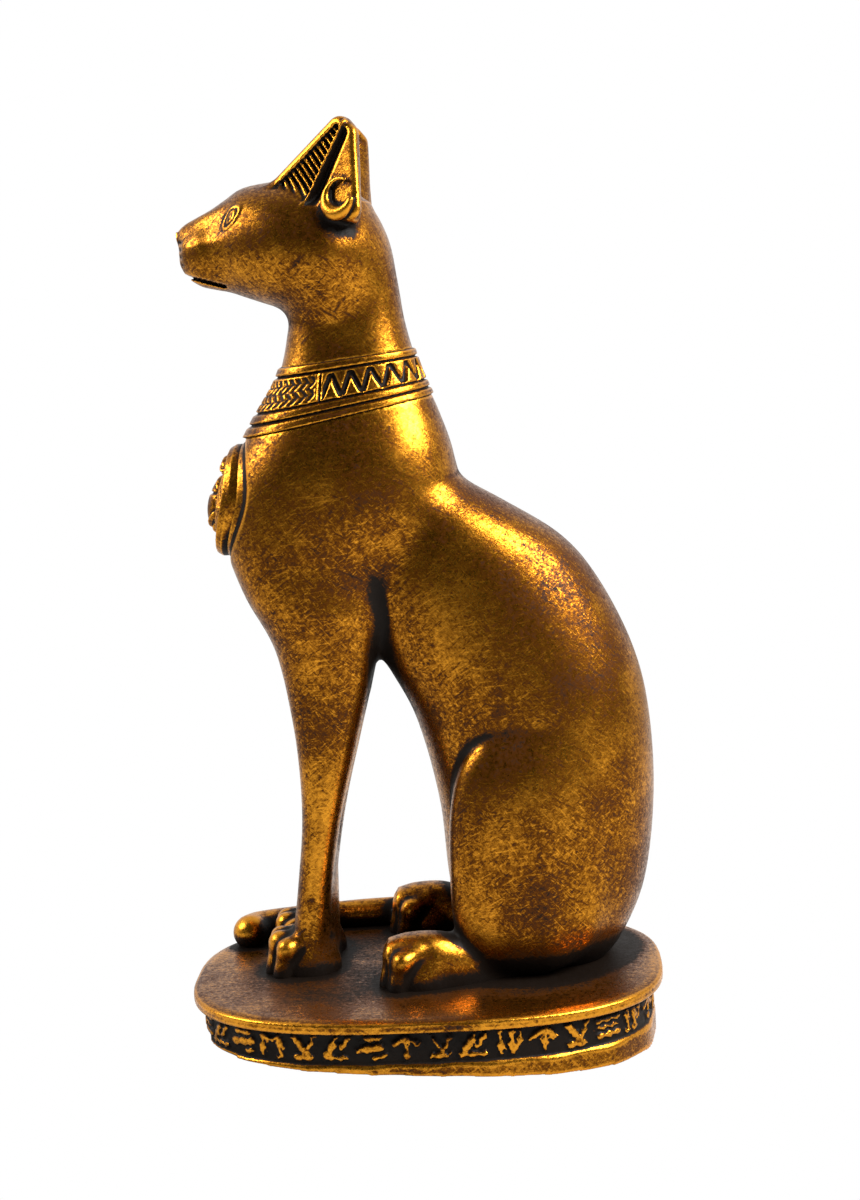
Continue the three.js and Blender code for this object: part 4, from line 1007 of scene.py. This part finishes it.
def soft_ramp(tree, value, low, high, to_low, to_high):
    """A value that goes softly from one level to another between low and high."""
    ends = {"From Min": low, "From Max": high, "To Min": to_low, "To Max": to_high}
    return add_node(tree, "ShaderNodeMapRange", {"interpolation_type": "SMOOTHSTEP"},
                    {"Value": value}, ends).outputs["Result"]


# %% Gold-bronze paint
GOLD = "#CE8A26"
OLD_GOLD = "#5E3208"
LACQUER = "#0E0703"
CLOUD_SIZE = 0.026
PATCH_SIZE = 0.007
SPECKLE_SIZE = 0.0011
GRAIN_SIZE = 0.00042
# Scratches: how much they darken, their size and their turns in degrees
BRIGHT_SCRATCHES = (-0.28, (0.0006, 0.009, 0.0004), (35, -50, 8))
DARK_SCRATCHES = (0.25, (0.0007, 0.012, 0.0006), (48, -30))


def bronze_paint():
    """Gold where rubbing reaches, old gold around it, and lacquer where it doesn't."""
    material, tree = blank_material("gold_bronze_paint_on_black_lacquer")
    spot = add_node(tree, "ShaderNodeTexCoord").outputs["Object"]

    def attribute(name):
        return add_node(tree, "ShaderNodeAttribute", {"attribute_name": name}).outputs["Fac"]

    def noise(size, detail, roughness, vector=spot):
        numbers = {"Scale": 1 / size, "Detail": detail, "Roughness": roughness}
        return add_node(tree, "ShaderNodeTexNoise", None, {"Vector": vector}, numbers).outputs["Fac"]

    def add_scaled(value, factor, base):
        return add_node(tree, "ShaderNodeMath", {"operation": "MULTIPLY_ADD"},
                        {0: value, 2: base}, {1: factor}).outputs[0]

    def ramp(value, low, high, to_low=0.0, to_high=1.0):
        return soft_ramp(tree, value, low, high, to_low, to_high)

    def streaks(turn, size):
        turned = add_node(tree, "ShaderNodeMapping", {"vector_type": "TEXTURE"}, {"Vector": spot},
                          {"Rotation": (math.radians(turn), 0.35, 0), "Scale": size}).outputs[0]
        return ramp(noise(1.0, 3, 0.6, turned), 0.54, 0.72)

    cloud = noise(CLOUD_SIZE, 4, 0.55)
    patch = noise(PATCH_SIZE, 4, 0.6)
    speckle = noise(SPECKLE_SIZE, 3, 0.75)
    grain = noise(GRAIN_SIZE, 2, 0.6)
    # Darkness adds up from hollows (lacquer and painted shade), cuts, clouds and scratches, less
    # what the edges lose
    dark = ramp(attribute("hollow"), 0.12, 0.62)
    dark = add_scaled(ramp(attribute("cut_fine"), 0.0, 0.07), 0.6, dark)
    dark = add_scaled(ramp(attribute("cut_mid"), 0.03, 0.22), 0.8, dark)
    dark = add_scaled(ramp(attribute("cut_fine"), -0.07, -0.01, 1.0, 0.0), -0.4, dark)
    dark = add_scaled(cloud, 1.2, dark)
    dark = add_scaled(patch, 0.35, dark)
    dark = add_scaled(speckle, 0.9, dark)
    for darkening, size, turns in (BRIGHT_SCRATCHES, DARK_SCRATCHES):
        for turn in turns:
            dark = add_scaled(streaks(turn, size), darkening, dark)
    cover = ramp(dark, 1.1, 1.75)
    shade = ramp(dark, 0.7, 1.4)
    gold = add_node(tree, "ShaderNodeMix", {"data_type": "RGBA"}, {"Factor": shade})
    gold.inputs["A"].default_value = linear(GOLD)
    gold.inputs["B"].default_value = linear(OLD_GOLD)
    colour = add_node(tree, "ShaderNodeMix", {"data_type": "RGBA"},
                      {"Factor": cover, "A": gold.outputs["Result"]})
    colour.inputs["B"].default_value = linear(LACQUER)
    sheen = add_scaled(cover, 0.25, ramp(speckle, 0.3, 0.7, 0.24, 0.36))
    metal = ramp(cover, 0, 1, 1.0, 0.0)
    height = add_scaled(grain, 0.5, speckle)
    bump = add_node(tree, "ShaderNodeBump", links={"Height": height},
                    values={"Strength": 0.3, "Distance": 0.0002}).outputs["Normal"]
    shader = add_node(tree, "ShaderNodeBsdfPrincipled", values={"Specular IOR Level": 0.12},
                      links={"Base Color": colour.outputs["Result"], "Roughness": sheen,
                             "Metallic": metal, "Normal": bump})
    add_node(tree, "ShaderNodeOutputMaterial", links={"Surface": shader.outputs[0]})
    return material


paint = bronze_paint()
for thing in pieces:
    thing.data.materials.append(paint)
    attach(thing, "root")
    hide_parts("cat_statue")

# %% [markdown]
# The studio is a white room that is dim on the camera's side. A large soft light hangs to
# the cat's left and behind it, and a smaller one in front. Metal shows what is around it, so
# the white side makes the bright edges and the dim side makes the deep brown in the middle.

# %% Camera
CAMERA_SPOT = (0.5462, 0.02236, 0.20368)
CAMERA_WAY = (-0.98788, -0.03956, -0.15006)


def aim(thing, spot, way):
    """Puts a camera or light at a spot, looking the given way."""
    thing.location = spot
    thing.rotation_euler = Vector(way).to_track_quat("-Z", "Y").to_euler()


camera_data = bpy.data.cameras.new("camera")
camera_data.sensor_fit = "VERTICAL"
camera_data.sensor_height = 36
camera_data.lens = 60
camera = add_object("camera", camera_data)
aim(camera, CAMERA_SPOT, CAMERA_WAY)
bpy.context.scene.camera = camera
bpy.context.scene.view_settings.view_transform = "Standard"

# %% Floor
FLOOR_HALF = 6


def white_paper():
    """Pure white to the camera, and matt paper to everything else."""
    material, tree = blank_material("white_matt_paper")
    seen = add_node(tree, "ShaderNodeLightPath").outputs["Is Camera Ray"]
    lit = add_node(tree, "ShaderNodeEmission", values={"Color": linear("#FFFFFF")})
    matt = add_node(tree, "ShaderNodeBsdfDiffuse", values={"Color": linear("#B4B4B2")})
    mixed = add_node(tree, "ShaderNodeMixShader",
                     links={0: seen, 1: matt.outputs[0], 2: lit.outputs[0]})
    add_node(tree, "ShaderNodeOutputMaterial", links={"Surface": mixed.outputs[0]})
    return material


def make_floor():
    """A large flat sheet of paper."""
    mesh = bpy.data.meshes.new("floor")
    corners = [(x * FLOOR_HALF, y * FLOOR_HALF, 0) for x, y in ((-1, -1), (1, -1), (1, 1), (-1, 1))]
    mesh.from_pydata(corners, [], [(0, 1, 2, 3)])
    floor = add_object("floor", mesh)
    mesh.materials.append(white_paper())


make_floor()

# %% Lights
DIM_WAY = Vector((0.97, 0.1, 0.12)).normalized()
DIM_LEVEL = 0.03


def add_area(name, spot, target, size, power):
    """A white rectangular light that points at a target."""
    data = bpy.data.lights.new(name, "AREA")
    data.shape = "RECTANGLE"
    data.size, data.size_y = size
    data.energy = power
    aim(add_object(name, data), spot, Vector(target) - Vector(spot))


def white_room():
    """A white world, dim where metal sees the camera's side, and white to the camera."""
    world = bpy.data.worlds.new("white_room")
    world.use_nodes = True
    tree = world.node_tree
    tree.nodes.clear()
    way = add_node(tree, "ShaderNodeTexCoord").outputs["Generated"]
    facing = add_node(tree, "ShaderNodeVectorMath", {"operation": "DOT_PRODUCT"},
                      {0: way}, {1: DIM_WAY}).outputs["Value"]
    dim = soft_ramp(tree, facing, -0.3, 0.45, 1.0, DIM_LEVEL)
    seen = add_node(tree, "ShaderNodeLightPath").outputs["Is Camera Ray"]
    strength = add_node(tree, "ShaderNodeMix", {"data_type": "FLOAT"},
                        {"Factor": seen, "A": dim}, {"B": 1.0}).outputs["Result"]
    background = add_node(tree, "ShaderNodeBackground", links={"Strength": strength},
                          values={"Color": linear("#FFFFFF")})
    add_node(tree, "ShaderNodeOutputWorld", links={"Surface": background.outputs[0]})
    return world


add_area("overhead", (0.40, 0.70, 0.85), (0, 0.02, 0.15), (0.6, 0.6), 36)
add_area("front", (0.10, -0.75, 0.60), (0, 0, 0.2), (0.4, 0.4), 7)
bpy.context.scene.world = white_room()
